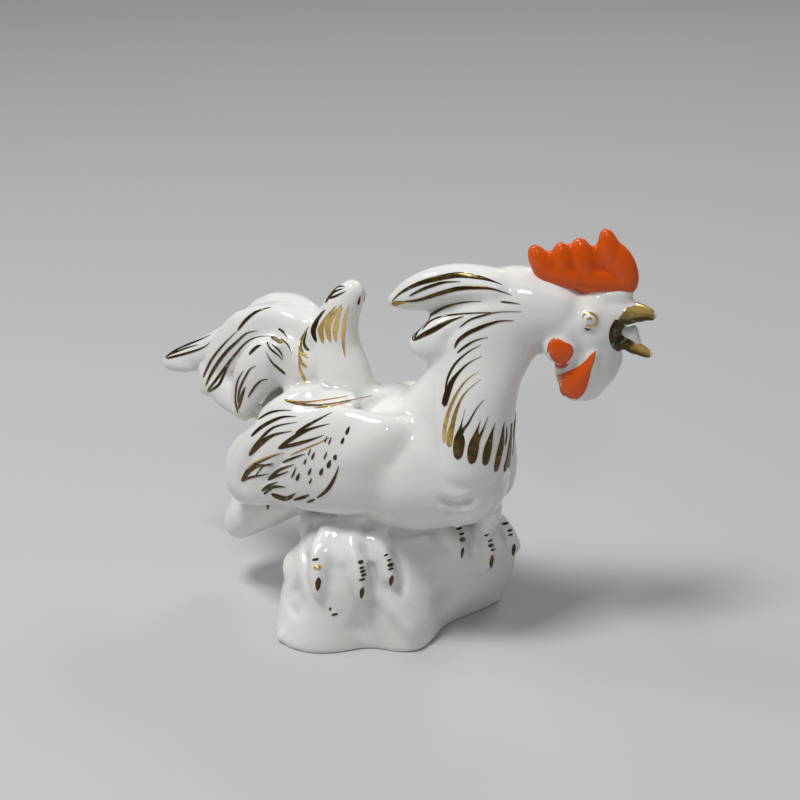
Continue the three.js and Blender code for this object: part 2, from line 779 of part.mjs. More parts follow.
function toeForm({ knuckle, claw, level }, grow) {
  const sections = TOE_COURSE.map(([share, width]) => {
    const bearing = THREE.MathUtils.lerp(knuckle, claw, share);
    const at = rockPoint(bearing, THREE.MathUtils.lerp(CROWN, level, share));
    const outward = outOfRock(bearing, share);
    const half = (width * TOE_WIDTH) / 2;
    at.addScaledVector(outward, TOE_RELIEF - half);
    return section(at, outward, half, half, half);
  });
  return loft(sections, { steps: 5, sides: 10, grow });
}

// The pad that joins the toes lies on the shoulder of the rock
const PAD_LEVEL = 3.7;
const PAD_RELIEF = 0.6 * TOE_RELIEF;

function footForm(toes, grow = 0) {
  const pad = toes.map(({ knuckle }) =>
    section(
      rockPoint(knuckle, PAD_LEVEL),
      outOfRock(knuckle, 0),
      PAD_RELIEF,
      0.5 * TOE_WIDTH,
      0.8 * TOE_WIDTH,
    ),
  );
  return join(loft(pad, { steps: 4, sides: 10, grow }), ...toes.map((toe) => toeForm(toe, grow)));
}

// Assembly

const FORMS = {
  rock_base: rockForm,
  body: bodyForm,
  neck: neckForm,
  crest_lock: crestLock,
  right_lock: (grow) => sideLock(-1, grow),
  left_lock: (grow) => sideLock(1, grow),
  head: headForm,
  comb: combForm,
  upper_beak: (grow) => beakForm(UPPER_BEAK_COURSE, grow),
  lower_beak: (grow) => beakForm(LOWER_BEAK_COURSE, grow),
  tongue: tongueForm,
  right_ear_lobe: (grow) => earLobeForm(-1, grow),
  left_ear_lobe: (grow) => earLobeForm(1, grow),
  right_wattle: (grow) => wattleForm(-1, grow),
  left_wattle: (grow) => wattleForm(1, grow),
  right_wing: (grow) => wingForm(-1, grow),
  left_wing: (grow) => wingForm(1, grow),
  saddle_plume: plumeForm,
  tail: tailForm,
  right_tail_feather: (grow) => featherForm(INNER_COURSE, -1, FEATHER_THICKNESS, grow),
  left_tail_feather: (grow) => featherForm(INNER_COURSE, 1, FEATHER_THICKNESS, grow),
  right_outer_feather: (grow) => featherForm(OUTER_COURSE, -1, FEATHER_THICKNESS, grow),
  left_outer_feather: (grow) => featherForm(OUTER_COURSE, 1, FEATHER_THICKNESS, grow),
  right_covert: (grow) => covertForm(-1, grow),
  left_covert: (grow) => covertForm(1, grow),
  rump_fluff: fluffForm,
  right_foot: (grow) => footForm(RIGHT_TOES, grow),
  left_foot: (grow) => footForm(LEFT_TOES, grow),
};

const tailNodes = (side) => ["tail", `${side}_tail_feather`, `${side}_outer_feather`];

// What each casting is luted to: it is cut back to their skin, less the slip gap
const SEATS = {
  rock_base: ["body"],
  body: [],
  neck: ["body"],
  crest_lock: ["neck", "head", "comb"],
  right_lock: ["neck", "crest_lock"],
  left_lock: ["neck", "crest_lock", "right_lock"],
  head: ["neck"],
  comb: ["head", "neck"],
  upper_beak: ["head", "comb"],
  lower_beak: ["head", "upper_beak"],
  tongue: ["head", "upper_beak", "lower_beak"],
  right_ear_lobe: ["head", "neck"],
  left_ear_lobe: ["head", "neck"],
  right_wattle: ["head", "neck", "right_ear_lobe", "lower_beak"],
  left_wattle: ["head", "neck", "left_ear_lobe", "lower_beak"],
  right_wing: ["body", "neck", "rock_base"],
  left_wing: ["body", "neck", "rock_base"],
  saddle_plume: ["body", "right_wing", "left_wing"],
  tail: ["body", "saddle_plume", "right_wing", "left_wing"],
  right_tail_feather: ["body", "tail", "saddle_plume"],
  left_tail_feather: ["body", "tail", "saddle_plume"],
  right_outer_feather: ["body", "tail", "right_tail_feather", "saddle_plume", "right_wing"],
  left_outer_feather: ["body", "tail", "left_tail_feather", "saddle_plume", "left_wing"],
  right_covert: ["body", "right_wing", "saddle_plume", ...tailNodes("right")],
  left_covert: ["body", "left_wing", "saddle_plume", ...tailNodes("left")],
  rump_fluff: ["body", "rock_base", "right_wing", "left_wing", "tail"],
  right_foot: ["rock_base", "body", "right_wing"],
  left_foot: ["rock_base", "body", "left_wing"],
};

// The hollow that the slip is poured out of: neck, belly, mouth and rock, open at the ground
function hollowForm() {
  const rockTop = BELLY - ROCK_WALL;
  const mouth = new THREE.CylinderGeometry(MOUTH_RADIUS, MOUTH_RADIUS, WALL + 2 * ROCK_WALL, 20);
  mouth.rotateX(Math.PI / 2);
  mouth.translate(bodyPoint(MOUTH_PLACE, 0, 0).x, 0, BELLY);
  return join(bodyForm(-WALL), neckForm(-WALL), rockForm(-ROCK_WALL, rockTop), solidOf(mouth));
}
const HOLLOW = hollowForm();
const HOLLOW_CASTINGS = ["rock_base", "body", "neck"];

function castingOf(name) {
  const seats = SEATS[name].map((seat) => FORMS[seat](SLIP_GAP));
  const seated = cut(FORMS[name](0), ...seats);
  return mainPiece(HOLLOW_CASTINGS.includes(name) ? cut(seated, HOLLOW) : seated);
}

const PORCELAIN = { color: 0xf1efe9, roughness: 0.12, metalness: 0 };
const ORANGE_ENAMEL = { color: 0xd8431b, roughness: 0.18, metalness: 0 };
const GOLD = { color: 0xa07a2e, roughness: 0.28, metalness: 0.9 };
const GILDED = ["upper_beak", "lower_beak"];
const ENAMELLED = ["comb", "right_ear_lobe", "left_ear_lobe", "right_wattle", "left_wattle"];

function finishOf(name) {
  if (GILDED.includes(name)) return GOLD;
  return ENAMELLED.includes(name) ? ORANGE_ENAMEL : PORCELAIN;
}

const figurine = new THREE.Group();
figurine.name = "rooster_figurine";
for (const name of Object.keys(FORMS)) {
  const material = new THREE.MeshStandardMaterial(finishOf(name));
  const mesh = new THREE.Mesh(geometryOf(castingOf(name)), material);
  mesh.name = name;
  figurine.add(mesh);
}

// The origin goes below the middle of the figurine, on the ground
const span = new THREE.Box3().setFromObject(figurine);
const middle = span.getCenter(vec(0, 0, 0));
figurine.position.set(-middle.x, -middle.y, 0);

export default figurine;
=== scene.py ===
"""Dresses the rooster figurine: one glaze over the white castings, enamel on comb, lobes and wattles,
and gold laid on with a brush. All lengths are in metres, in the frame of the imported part."""

from __future__ import annotations

import logging
import math
from collections.abc import Callable, Sequence
from dataclasses import dataclass, field
from enum import Enum

import bpy
import numpy as np
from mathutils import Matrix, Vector
from mathutils.bvhtree import BVHTree


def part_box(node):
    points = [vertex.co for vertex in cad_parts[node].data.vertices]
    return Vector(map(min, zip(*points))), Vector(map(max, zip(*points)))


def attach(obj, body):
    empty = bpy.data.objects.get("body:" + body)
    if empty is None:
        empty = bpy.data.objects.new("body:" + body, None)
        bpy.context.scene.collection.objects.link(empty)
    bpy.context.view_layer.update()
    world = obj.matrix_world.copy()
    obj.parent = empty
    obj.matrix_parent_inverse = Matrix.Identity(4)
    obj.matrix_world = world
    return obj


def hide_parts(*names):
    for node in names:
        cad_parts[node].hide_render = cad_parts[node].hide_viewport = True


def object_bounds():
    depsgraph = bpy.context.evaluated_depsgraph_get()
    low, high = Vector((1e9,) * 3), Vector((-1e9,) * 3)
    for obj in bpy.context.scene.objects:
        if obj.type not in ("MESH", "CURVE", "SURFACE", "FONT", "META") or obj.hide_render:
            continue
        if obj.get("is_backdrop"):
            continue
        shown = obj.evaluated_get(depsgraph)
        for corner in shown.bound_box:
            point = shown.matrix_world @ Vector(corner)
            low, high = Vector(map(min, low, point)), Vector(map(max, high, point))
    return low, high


log = logging.getLogger("rooster")

MM = 0.001
Pixel = tuple[float, float]
Spot = tuple[float, float, float]
Span = tuple[float, float]
Colour = tuple[float, float, float]
Socket = bpy.types.NodeSocket


# Small tools for working on names and meshes


def pair(name: str) -> tuple[str, str]:
    """Names the right and the left casting of a pair."""
    return (f"right_{name}", f"left_{name}")


def pick_only(*objects: bpy.types.Object) -> None:
    """Selects these objects alone and makes the first one active.

    Args:
        objects: what the next operator works on.
    """
    bpy.ops.object.select_all(action="DESELECT")
    for one in objects:
        one.select_set(True)
    bpy.context.view_layer.objects.active = objects[0]


def apply_modifier(piece: bpy.types.Object, kind: str, **settings: object) -> None:
    """Adds a modifier, sets it and applies it.

    Args:
        piece: the object whose mesh changes.
        kind: the modifier's type, such as "SMOOTH".
        settings: the modifier's own values.
    """
    pick_only(piece)
    modifier = piece.modifiers.new(kind.lower(), kind)
    for key, value in settings.items():
        setattr(modifier, key, value)
    bpy.ops.object.modifier_apply(modifier=modifier.name)


def join_pieces(pieces: Sequence[bpy.types.Object], name: str) -> bpy.types.Object:
    """Joins pieces into one object.

    Args:
        pieces: the objects to join.
        name: the name of the joined object.

    Returns:
        The joined object.
    """
    pick_only(*pieces)
    if len(pieces) > 1:
        bpy.ops.object.join()
    whole = bpy.context.view_layer.objects.active
    whole.name = name
    whole.data.name = name
    return whole


def edit(piece: bpy.types.Object, *steps: Callable[[], object]) -> None:
    """Runs steps in edit mode on the whole mesh.

    Args:
        piece: the object that is edited.
        steps: calls to make, one after the other, with everything selected at first.
    """
    pick_only(piece)
    bpy.ops.object.mode_set(mode="EDIT")
    bpy.ops.mesh.select_all(action="SELECT")
    for step in steps:
        step()
    bpy.ops.object.mode_set(mode="OBJECT")


def merge_doubles(distance: float = 0.002 * MM) -> None:
    """Merges the points of the mesh in edit mode that lie together."""
    bpy.ops.mesh.remove_doubles(threshold=distance)


def copy_piece(source: bpy.types.Object) -> bpy.types.Object:
    """Copies an object together with its mesh.

    Args:
        source: the object.

    Returns:
        The copy, which is in the scene.
    """
    copy = source.copy()
    copy.data = source.data.copy()
    bpy.context.scene.collection.objects.link(copy)
    return copy


def copy_of_casting(name: str) -> bpy.types.Object:
    """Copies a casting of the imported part, with its loose triangles merged.

    Args:
        name: the casting's node.

    Returns:
        The copy, which stands free of the frame.
    """
    copy = copy_piece(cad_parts[name])
    copy.parent = None
    for key in list(copy.keys()):
        del copy[key]
    copy.data.materials.clear()
    edit(copy, merge_doubles)
    return copy


def read_rows(items: bpy.types.bpy_prop_collection, name: str, width: int, kind: type = float) -> np.ndarray:
    """Reads one value of all points or all edges of a mesh.

    Args:
        items: the points or the edges.
        name: the value's name.
        width: how many numbers it has.
        kind: the type of the numbers.

    Returns:
        The values, one row each.
    """
    flat = np.empty(len(items) * width, dtype=kind)
    items.foreach_get(name, flat)
    return flat.reshape(-1, width)


def points_of(piece: bpy.types.Object) -> np.ndarray:
    """Gives the places of a mesh's points, one row each."""
    return read_rows(piece.data.vertices, "co", 3)


def normals_of(piece: bpy.types.Object) -> np.ndarray:
    """Gives the outward directions at a mesh's points, one row each."""
    return read_rows(piece.data.vertices, "normal", 3)


def edges_of(piece: bpy.types.Object) -> np.ndarray:
    """Gives the first points of a mesh's edges in one row, and the second points in another."""
    return read_rows(piece.data.edges, "vertices", 2, np.int64).T


def place_points(piece: bpy.types.Object, move: Callable[[np.ndarray], np.ndarray]) -> None:
    """Moves all points of a mesh at once, as a sculptor's brush would.

    Args:
        piece: the object whose points move.
        move: gives the new places from the old ones, one row each.
    """
    mesh = piece.data
    mesh.vertices.foreach_set("co", move(points_of(piece)).ravel())
    mesh.update()


def swell(piece: bpy.types.Object, height: float, grain: float) -> None:
    """Moves a skin outwards by a height, then makes it one mesh again, with faces as wide as the grain."""
    apply_modifier(piece, "DISPLACE", strength=height, mid_level=0.0)
    apply_modifier(piece, "REMESH", mode="VOXEL", voxel_size=grain, use_smooth_shade=True)


def soften(piece: bpy.types.Object, rounds: int, **part: str) -> None:
    """Smooths a mesh so many times, or only the part of it in a vertex group."""
    apply_modifier(piece, "SMOOTH", factor=0.5, iterations=rounds, **part)


def hollowness(piece: bpy.types.Object, rounds: int) -> np.ndarray:
    """Measures how far each point lies below or above the mean of those around it.

    Args:
        piece: the object that is measured.
        rounds: how many times the mean is widened to the next points.

    Returns:
        One number for each point: over 0 in a crease, under 0 on a ridge.
    """
    first, second = edges_of(piece)
    here = points_of(piece)
    count = np.bincount(np.concatenate((first, second)), minlength=len(here)).astype(float)[:, None]
    mean = here.copy()
    for _ in range(rounds):
        total = np.zeros_like(mean)
        np.add.at(total, first, mean[second])
        np.add.at(total, second, mean[first])
        mean = total / np.maximum(count, 1)
    return ((mean - here) * normals_of(piece)).sum(1)


def write_attribute(piece: bpy.types.Object, name: str, values: np.ndarray) -> None:
    """Stores one number for each point of a mesh, for its material to read.

    Args:
        piece: the object that gets the attribute.
        name: the attribute's name.
        values: the numbers.
    """
    layer = piece.data.attributes.new(name, "FLOAT", "POINT")
    layer.data.foreach_set("value", values.astype(np.float32))


def finish_piece(
    piece: bpy.types.Object,
    slot: str,
    finish: bpy.types.Material,
    *castings: str,
) -> bpy.types.Object:
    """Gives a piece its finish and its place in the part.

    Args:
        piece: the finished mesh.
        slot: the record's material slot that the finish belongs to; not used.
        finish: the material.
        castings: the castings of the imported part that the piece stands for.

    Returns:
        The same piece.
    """
    piece.data.materials.clear()
    piece.data.materials.append(finish)
    pick_only(piece)
    bpy.ops.object.shade_smooth()
    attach(piece, "root")
    if castings:
        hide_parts(*castings)
    log.info("%s: %d faces", piece.name, len(piece.data.polygons))
    return piece


# Finishes; a span holds the readings where a change of tone starts and ends, and a waver how far it is moved


class Bench:
    """Builds the nodes of one material."""

    def __init__(self, name: str) -> None:
        """Starts a material with one shader.

        Args:
            name: the material's name.
        """
        self.material = bpy.data.materials.new(name)
        self.material.use_nodes = True
        self.tree = self.material.node_tree
        self.shader = self.tree.nodes["Principled BSDF"]
        self.place = self.add("ShaderNodeTexCoord").outputs["Object"]

    def add(self, kind: str, **settings: object) -> bpy.types.Node:
        """Adds a node and sets its own values.

        Args:
            kind: the node's type.
            settings: the node's own values.

        Returns:
            The node.
        """
        node = self.tree.nodes.new(kind)
        for key, value in settings.items():
            setattr(node, key, value)
        return node

    def feed(self, socket: Socket, value: object) -> None:
        """Links a socket to another one, or sets it to a value.

        Args:
            socket: the socket that is fed.
            value: the other socket, or the value.
        """
        if isinstance(value, bpy.types.NodeSocket):
            self.tree.links.new(value, socket)
        else:
            socket.default_value = value

    def set(self, name: str, value: object) -> None:
        """Feeds one of the shader's sockets.

        Args:
            name: the socket's name.
            value: another socket, or a value; a colour is given without its alpha.
        """
        if isinstance(value, tuple) and self.shader.inputs[name].type == "RGBA":
            value = (*value, 1.0)
        self.feed(self.shader.inputs[name], value)

    def attribute(self, name: str) -> Socket:
        """Reads a number stored on the piece's points."""
        return self.add("ShaderNodeAttribute", attribute_name=name).outputs["Fac"]

    def noise(self, size: float, detail: float = 3.0, seed: float = 0.0) -> Socket:
        """Adds a noise whose lumps are about as wide as the given size.

        Args:
            size: width of a lump in metres.
            detail: how many finer layers lie on it.
            seed: moves the pattern so that two noises differ.

        Returns:
            The noise, from 0 to 1.
        """
        shift = self.add("ShaderNodeMapping")
        shift.inputs["Location"].default_value = (seed, 0.7 * seed, 1.3 * seed)
        self.feed(shift.inputs["Vector"], self.place)
        node = self.add("ShaderNodeTexNoise")
        node.inputs["Scale"].default_value = 1.0 / size
        node.inputs["Detail"].default_value = detail
        self.feed(node.inputs["Vector"], shift.outputs["Vector"])
        return node.outputs["Fac"]

    def spread(self, value: Socket, low: float, high: float, start: float = 0.0, end: float = 1.0) -> Socket:
        """Stretches a value from one span to another and clamps it.

        Args:
            value: what is read.
            low: reading that gives start.
            high: reading that gives end.
            start: first result.
            end: last result.

        Returns:
            The stretched value.
        """
        node = self.add("ShaderNodeMapRange", interpolation_type="SMOOTHSTEP")
        self.feed(node.inputs["Value"], value)
        numbers = {"From Min": low, "From Max": high, "To Min": start, "To Max": end}
        for key, number in numbers.items():
            node.inputs[key].default_value = number
        return node.outputs["Result"]

    def maths(self, operation: str, first: object, second: object) -> Socket:
        """Works out one value from two.

        Args:
            operation: what is worked out, such as "ADD".
            first: number or socket.
            second: number or socket.

        Returns:
            The result.
        """
        node = self.add("ShaderNodeMath", operation=operation)
        self.feed(node.inputs[0], first)
        self.feed(node.inputs[1], second)
        return node.outputs[0]

    def blend(self, share: object, first: object, second: object) -> Socket:
        """Mixes two colours.

        Args:
            share: 0 for the first colour, 1 for the second.
            first: colour or socket.
            second: colour or socket.

        Returns:
            The mixed colour.
        """
        node = self.add("ShaderNodeMix", data_type="RGBA")
        self.feed(node.inputs["Factor"], share)
        for socket, value in ((node.inputs[6], first), (node.inputs[7], second)):
            self.feed(socket, (*value, 1.0) if isinstance(value, tuple) else value)
        return node.outputs[2]

    def relief(self, height: Socket, depth: float, strength: float) -> None:
        """Adds a fine relief to the shader.

        Args:
            height: the relief, from 0 to 1.
            depth: the height of 1 in metres.
            strength: how much of it shows.
        """
        node = self.add("ShaderNodeBump")
        node.inputs["Distance"].default_value = depth
        node.inputs["Strength"].default_value = strength
        self.feed(node.inputs["Height"], height)
        self.feed(self.shader.inputs["Normal"], node.outputs["Normal"])


@dataclass(frozen=True)
class Glaze:
    """Clear glaze over white porcelain; bare and matt on the ground foot."""

    body: Colour = (0.79, 0.785, 0.76)
    thin: Colour = (0.83, 0.815, 0.78)
    pooled: Colour = (0.6, 0.61, 0.585)
    bare: Colour = (0.66, 0.61, 0.52)
    speck: Colour = (0.2, 0.16, 0.12)
    cloud_size: float = 14 * MM
    cloud_span: Span = (0.35, 0.65)
    crease_span: Span = (0.02, 0.3)
    pooled_most: float = 0.85
    speck_spacing: float = 9 * MM
    speck_span: Span = (0.012, 0.022)
    speck_most: float = 0.55
    grit_size: float = 0.5 * MM
    grit_span: Span = (0.2, 0.6)
    grit_least: float = 0.6
    smear_size: float = 6 * MM
    smear_span: Span = (0.3, 0.7)
    ripple_size: float = 3.2 * MM
    ripple_depth: float = 0.03 * MM
    ripple_strength: float = 0.6
    foot_height: float = 0.25 * MM
    foot_roughness: float = 0.75
    roughness: Span = (0.05, 0.12)
    refraction: float = 1.52
    scattering: float = 0.08
    scatter_reach: Colour = (0.0016, 0.0014, 0.0011)

    def material(self) -> bpy.types.Material:
        """Makes the glaze.

        Returns:
            A material that reads the piece's attribute "crease", in millimetres of depth.
        """
        bench = Bench("porcelain_glaze")
        crease = bench.attribute("crease")
        cloud = bench.noise(self.cloud_size, detail=2.0)
        tone = bench.blend(bench.spread(cloud, *self.cloud_span), self.body, self.thin)
        pool = bench.spread(crease, *self.crease_span, 0.0, self.pooled_most)
        tone = bench.blend(pool, tone, self.pooled)
        grain = bench.add("ShaderNodeTexVoronoi", feature="F1")
        grain.inputs["Scale"].default_value = 1 / self.speck_spacing
        bench.feed(grain.inputs["Vector"], bench.place)
        speck = bench.spread(grain.outputs["Distance"], *self.speck_span, self.speck_most, 0.0)
        tone = bench.blend(speck, tone, self.speck)
        height = bench.add("ShaderNodeSeparateXYZ")
        bench.feed(height.inputs[0], bench.place)
        foot = bench.spread(height.outputs["Z"], 0.5 * self.foot_height, self.foot_height, 1.0, 0.0)
        grit = bench.noise(self.grit_size, detail=4.0, seed=3.0)
        grit = bench.spread(grit, *self.grit_span, self.grit_least, 1.0)
        tone = bench.blend(bench.maths("MULTIPLY", foot, grit), tone, self.bare)
        bench.set("Base Color", tone)
        smear = bench.spread(bench.noise(self.smear_size, seed=5.0), *self.smear_span, *self.roughness)
        matt = bench.maths("MULTIPLY", foot, self.foot_roughness)
        bench.set("Roughness", bench.maths("MAXIMUM", smear, matt))
        bench.set("IOR", self.refraction)
        bench.set("Subsurface Weight", self.scattering)
        bench.set("Subsurface Radius", self.scatter_reach)
        ripple = bench.noise(self.ripple_size, detail=1.0, seed=9.0)
        bench.relief(ripple, self.ripple_depth, self.ripple_strength)
        return bench.material


@dataclass(frozen=True)
class Enamel:
    """Orange-red enamel: thick in the creases, thin and chalky on the ridges."""

    full: Colour = (0.74, 0.098, 0.001)
    thick: Colour = (0.5, 0.04, 0.001)
    thin: Colour = (0.72, 0.17, 0.06)
    bare: Colour = (0.79, 0.785, 0.76)
    crease_span: Span = (0.0, 0.14)
    thick_most: float = 0.8
    ridge_span: Span = (-0.2, -0.05)
    patch_size: float = 2.4 * MM
    patch_span: Span = (0.45, 0.62)
    thin_most: float = 0.6
    mottle_size: float = 0.35 * MM
    mottle_span: Span = (0.35, 0.7)
    mottle_most: float = 0.35
    edge_size: float = 1.2 * MM
    edge_span: Span = (0.2, 0.8)
    edge_waver: Span = (-0.2, 0.2)
    bare_span: Span = (0.45, 0.55)
    gloss_size: float = 1.6 * MM
    gloss_span: Span = (0.3, 0.7)
    ripple_size: float = 0.9 * MM
    ripple_depth: float = 0.03 * MM
    ripple_strength: float = 0.7
    roughness: Span = (0.1, 0.24)
    refraction: float = 1.42

    def material(self) -> bpy.types.Material:
        """Makes the enamel.

        Returns:
            A material that reads the piece's attributes "crease" and "bare".
        """
        bench = Bench("orange_enamel")
        crease = bench.attribute("crease")
        thick = bench.spread(crease, *self.crease_span, 0.0, self.thick_most)
        tone = bench.blend(thick, self.full, self.thick)
        ridge = bench.spread(crease, *self.ridge_span, 1.0, 0.0)
        patchy = bench.spread(bench.noise(self.patch_size, detail=4.0), *self.patch_span)
        worn = bench.maths("MULTIPLY", ridge, bench.maths("MULTIPLY", patchy, self.thin_most))
        tone = bench.blend(worn, tone, self.thin)
        mottle = bench.noise(self.mottle_size, seed=2.0)
        mottle = bench.spread(mottle, *self.mottle_span, 0.0, self.mottle_most)
        tone = bench.blend(mottle, tone, self.thick)
        waver = bench.spread(bench.noise(self.edge_size), *self.edge_span, *self.edge_waver)
        edge = bench.maths("ADD", bench.attribute("bare"), waver)
        tone = bench.blend(bench.spread(edge, *self.bare_span), tone, self.bare)
        bench.set("Base Color", tone)
        gloss = bench.noise(self.gloss_size, seed=4.0)
        bench.set("Roughness", bench.spread(gloss, *self.gloss_span, *self.roughness))
        bench.set("IOR", self.refraction)
        ripple = bench.noise(self.ripple_size, detail=2.0, seed=6.0)
        bench.relief(ripple, self.ripple_depth, self.ripple_strength)
        return bench.material


@dataclass(frozen=True)
class GoldLustre:
    """Gold laid with a brush: painted bright where it glints and dark where it mirrors dark surroundings,
    with a greenish film in spots, worn at the tails.
    """

    # deep is a painted dark reflection, the gold mirroring dark surroundings; warm and bright are painted
    # glints of the lamps
    deep: Colour = (0.062, 0.043, 0.012)
    warm: Colour = (0.36, 0.22, 0.05)
    bright: Colour = (0.9, 0.62, 0.2)
    film: Colour = (0.16, 0.24, 0.22)
    worn: Colour = (0.79, 0.785, 0.76)
    lay_size: float = 2.6 * MM
    lay_span: Span = (0.25, 0.75)
    lay_waver: Span = (-0.1, 0.1)
    warm_span: Span = (0.1, 0.5)
    bright_span: Span = (0.45, 0.85)
    film_size: float = 2.2 * MM
    film_span: Span = (0.66, 0.72)
    film_most: float = 0.7
    scratch_size: float = 0.3 * MM
    scratch_span: Span = (0.3, 0.75)
    scratch_waver: Span = (-0.3, 0.3)
    worn_span: Span = (0.45, 0.6)
    gloss_size: float = 1.1 * MM
    gloss_span: Span = (0.3, 0.75)
    ripple_size: float = 0.5 * MM
    ripple_depth: float = 0.02 * MM
    ripple_strength: float = 0.5
    roughness: Span = (0.12, 0.3)
    metal: float = 0.75

    def material(self) -> bpy.types.Material:
        """Makes the gold.

        Returns:
            A material that reads the piece's attributes "worn", 1 where the glaze shows through, and
            "shine", the painted glint: 0 for gold painted as a dark reflection and 1 for a painted bright
            glint.
        """
        bench = Bench("gold_lustre")
        lay = bench.noise(self.lay_size, detail=2.0, seed=1.0)
        lay = bench.spread(lay, *self.lay_span, *self.lay_waver)
        # painted glint: lifts the painted dark reflection towards the painted glints, with a random lay of
        # the brush
        painted_glint = bench.maths("ADD", bench.attribute("painted_glint"), lay)
        tone = bench.blend(bench.spread(painted_glint, *self.warm_span), self.deep, self.warm)
        tone = bench.blend(bench.spread(painted_glint, *self.bright_span), tone, self.bright)
        oil = bench.noise(self.film_size, detail=1.0, seed=11.0)
        oil = bench.spread(oil, *self.film_span, 0.0, self.film_most)
        tone = bench.blend(oil, tone, self.film)
        scratch = bench.noise(self.scratch_size, detail=4.0, seed=13.0)
        scratch = bench.spread(scratch, *self.scratch_span, *self.scratch_waver)
        worn = bench.spread(bench.maths("ADD", bench.attribute("worn"), scratch), *self.worn_span)
        bench.set("Base Color", bench.blend(worn, tone, self.worn))
        bench.set("Metallic", bench.maths("MULTIPLY", bench.maths("SUBTRACT", 1.0, worn), self.metal))
        gloss = bench.noise(self.gloss_size, seed=17.0)
        bench.set("Roughness", bench.spread(gloss, *self.gloss_span, *self.roughness))
        ripple = bench.noise(self.ripple_size, detail=2.0, seed=19.0)
        bench.relief(ripple, self.ripple_depth, self.ripple_strength)
        return bench.material


# The photograph's camera


@dataclass
class PhotoView:
    """The camera of the photograph, aimed from the rock's corner; its frame is 800 by 800."""

    azimuth: float = 30.0
    elevation: float = 25.0
    distance: float = 0.64
    focal_px: float = 1984.0
    frame_px: float = 800.0
    film: float = 36.0
    clip: Span = (0.01, 20.0)
    least_seen: float = 0.45
    aim_from_rock: Vector = field(default_factory=lambda: Vector((0.0328, 0.04608, 0.074)))

    def __post_init__(self) -> None:
        """Works out where the camera stands and how it is turned."""
        turn, rise = math.radians(self.azimuth), math.radians(self.elevation)
        self.right = Vector((math.cos(turn), math.sin(turn), 0))
        level = math.cos(rise)
        self.back = Vector((math.sin(turn) * level, -math.cos(turn) * level, math.sin(rise)))
        self.up = self.back.cross(self.right)
        self.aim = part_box("rock_base")[0] + self.aim_from_rock
        self.place = self.aim + self.distance * self.back

    def build(self) -> None:
        """Makes the camera and hands it to the scene."""
        data = bpy.data.cameras.new("photo_camera")
        data.sensor_width = self.film
        data.lens = self.focal_px / self.frame_px * self.film
        data.clip_start, data.clip_end = self.clip
        camera = bpy.data.objects.new("photo_camera", data)
        camera.location = self.place
        camera.rotation_euler = (-self.back).to_track_quat("-Z", "Y").to_euler()
        bpy.context.scene.collection.objects.link(camera)
        bpy.context.scene.camera = camera

    def ray(self, pixel: Pixel) -> Vector:
        """Finds the direction in which the camera sees a pixel.

        Args:
            pixel: the pixel.

        Returns:
            The direction, one metre long.
        """
        across = pixel[0] - self.frame_px / 2
        down = pixel[1] - self.frame_px / 2
        return (-self.back * self.focal_px + self.right * across - self.up * down).normalized()

    def width_at(self, point: Vector, side: Vector, pixels: float) -> float:
        """Turns a width on the picture into one on the object.

        Args:
            point: where it is seen.
            side: the direction along which it is measured.
            pixels: the width on the picture.

        Returns:
            The width in metres.
        """
        look = (point - self.place).normalized()
        seen = max((side - side.dot(look) * look).length, self.least_seen)
        depth = (point - self.place).dot(-self.back)
        return pixels * depth / self.focal_px / seen


# The planes that mirror head and body, and clay set by them; a spot is a pixel and, as its third number,
# how many millimetres it lies behind such a plane


class OtherSide(Enum):
    """How a mark is repeated on the side that the photograph doesn't show."""

    NONE = "none"
    SAME_PLACE = "same place"
    LEFT_WING = "left wing"
    ACROSS_BODY = "across body"
    ACROSS_HEAD = "across head"


@dataclass
class Middles:
    """The upright planes that mirror the head and the body, and how far the left wing stands ahead."""

    wing_lead: Vector = field(default_factory=lambda: Vector((0.02, 0, -0.006)))

    def __post_init__(self) -> None:
        """Measures the planes on the castings."""
        lobes = [sum(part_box(name), Vector()) / 2 for name in pair("ear_lobe")]
        self.head = (lobes[0] + lobes[1]) / 2
        self.head_side = (lobes[1] - lobes[0]).normalized()
        self.ahead = self.head_side.cross(Vector((0, 0, 1)))
        self.body = sum(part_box("body"), Vector()) / 2

    def over(self, point: Vector, other: OtherSide) -> Vector:
        """Mirrors a point to the other side.

        Args:
            point: a point on the side that the photograph shows.
            other: how it is repeated.

        Returns:
            The point on the far side.
        """
        if other is OtherSide.ACROSS_HEAD:
            return point - 2 * (point - self.head).dot(self.head_side) * self.head_side
        mirrored = Vector((point.x, 2 * self.body.y - point.y, point.z))
        return mirrored + self.wing_lead if other is OtherSide.LEFT_WING else mirrored


@dataclass(frozen=True)
class Lump:
    """A rounded lump of clay, with its middle, tip and side picked on the photograph.

    Its half thickness is in millimetres.
    """

    middle: Spot
    tip: Spot
    side: Spot
    thickness: float
    other: OtherSide = OtherSide.NONE


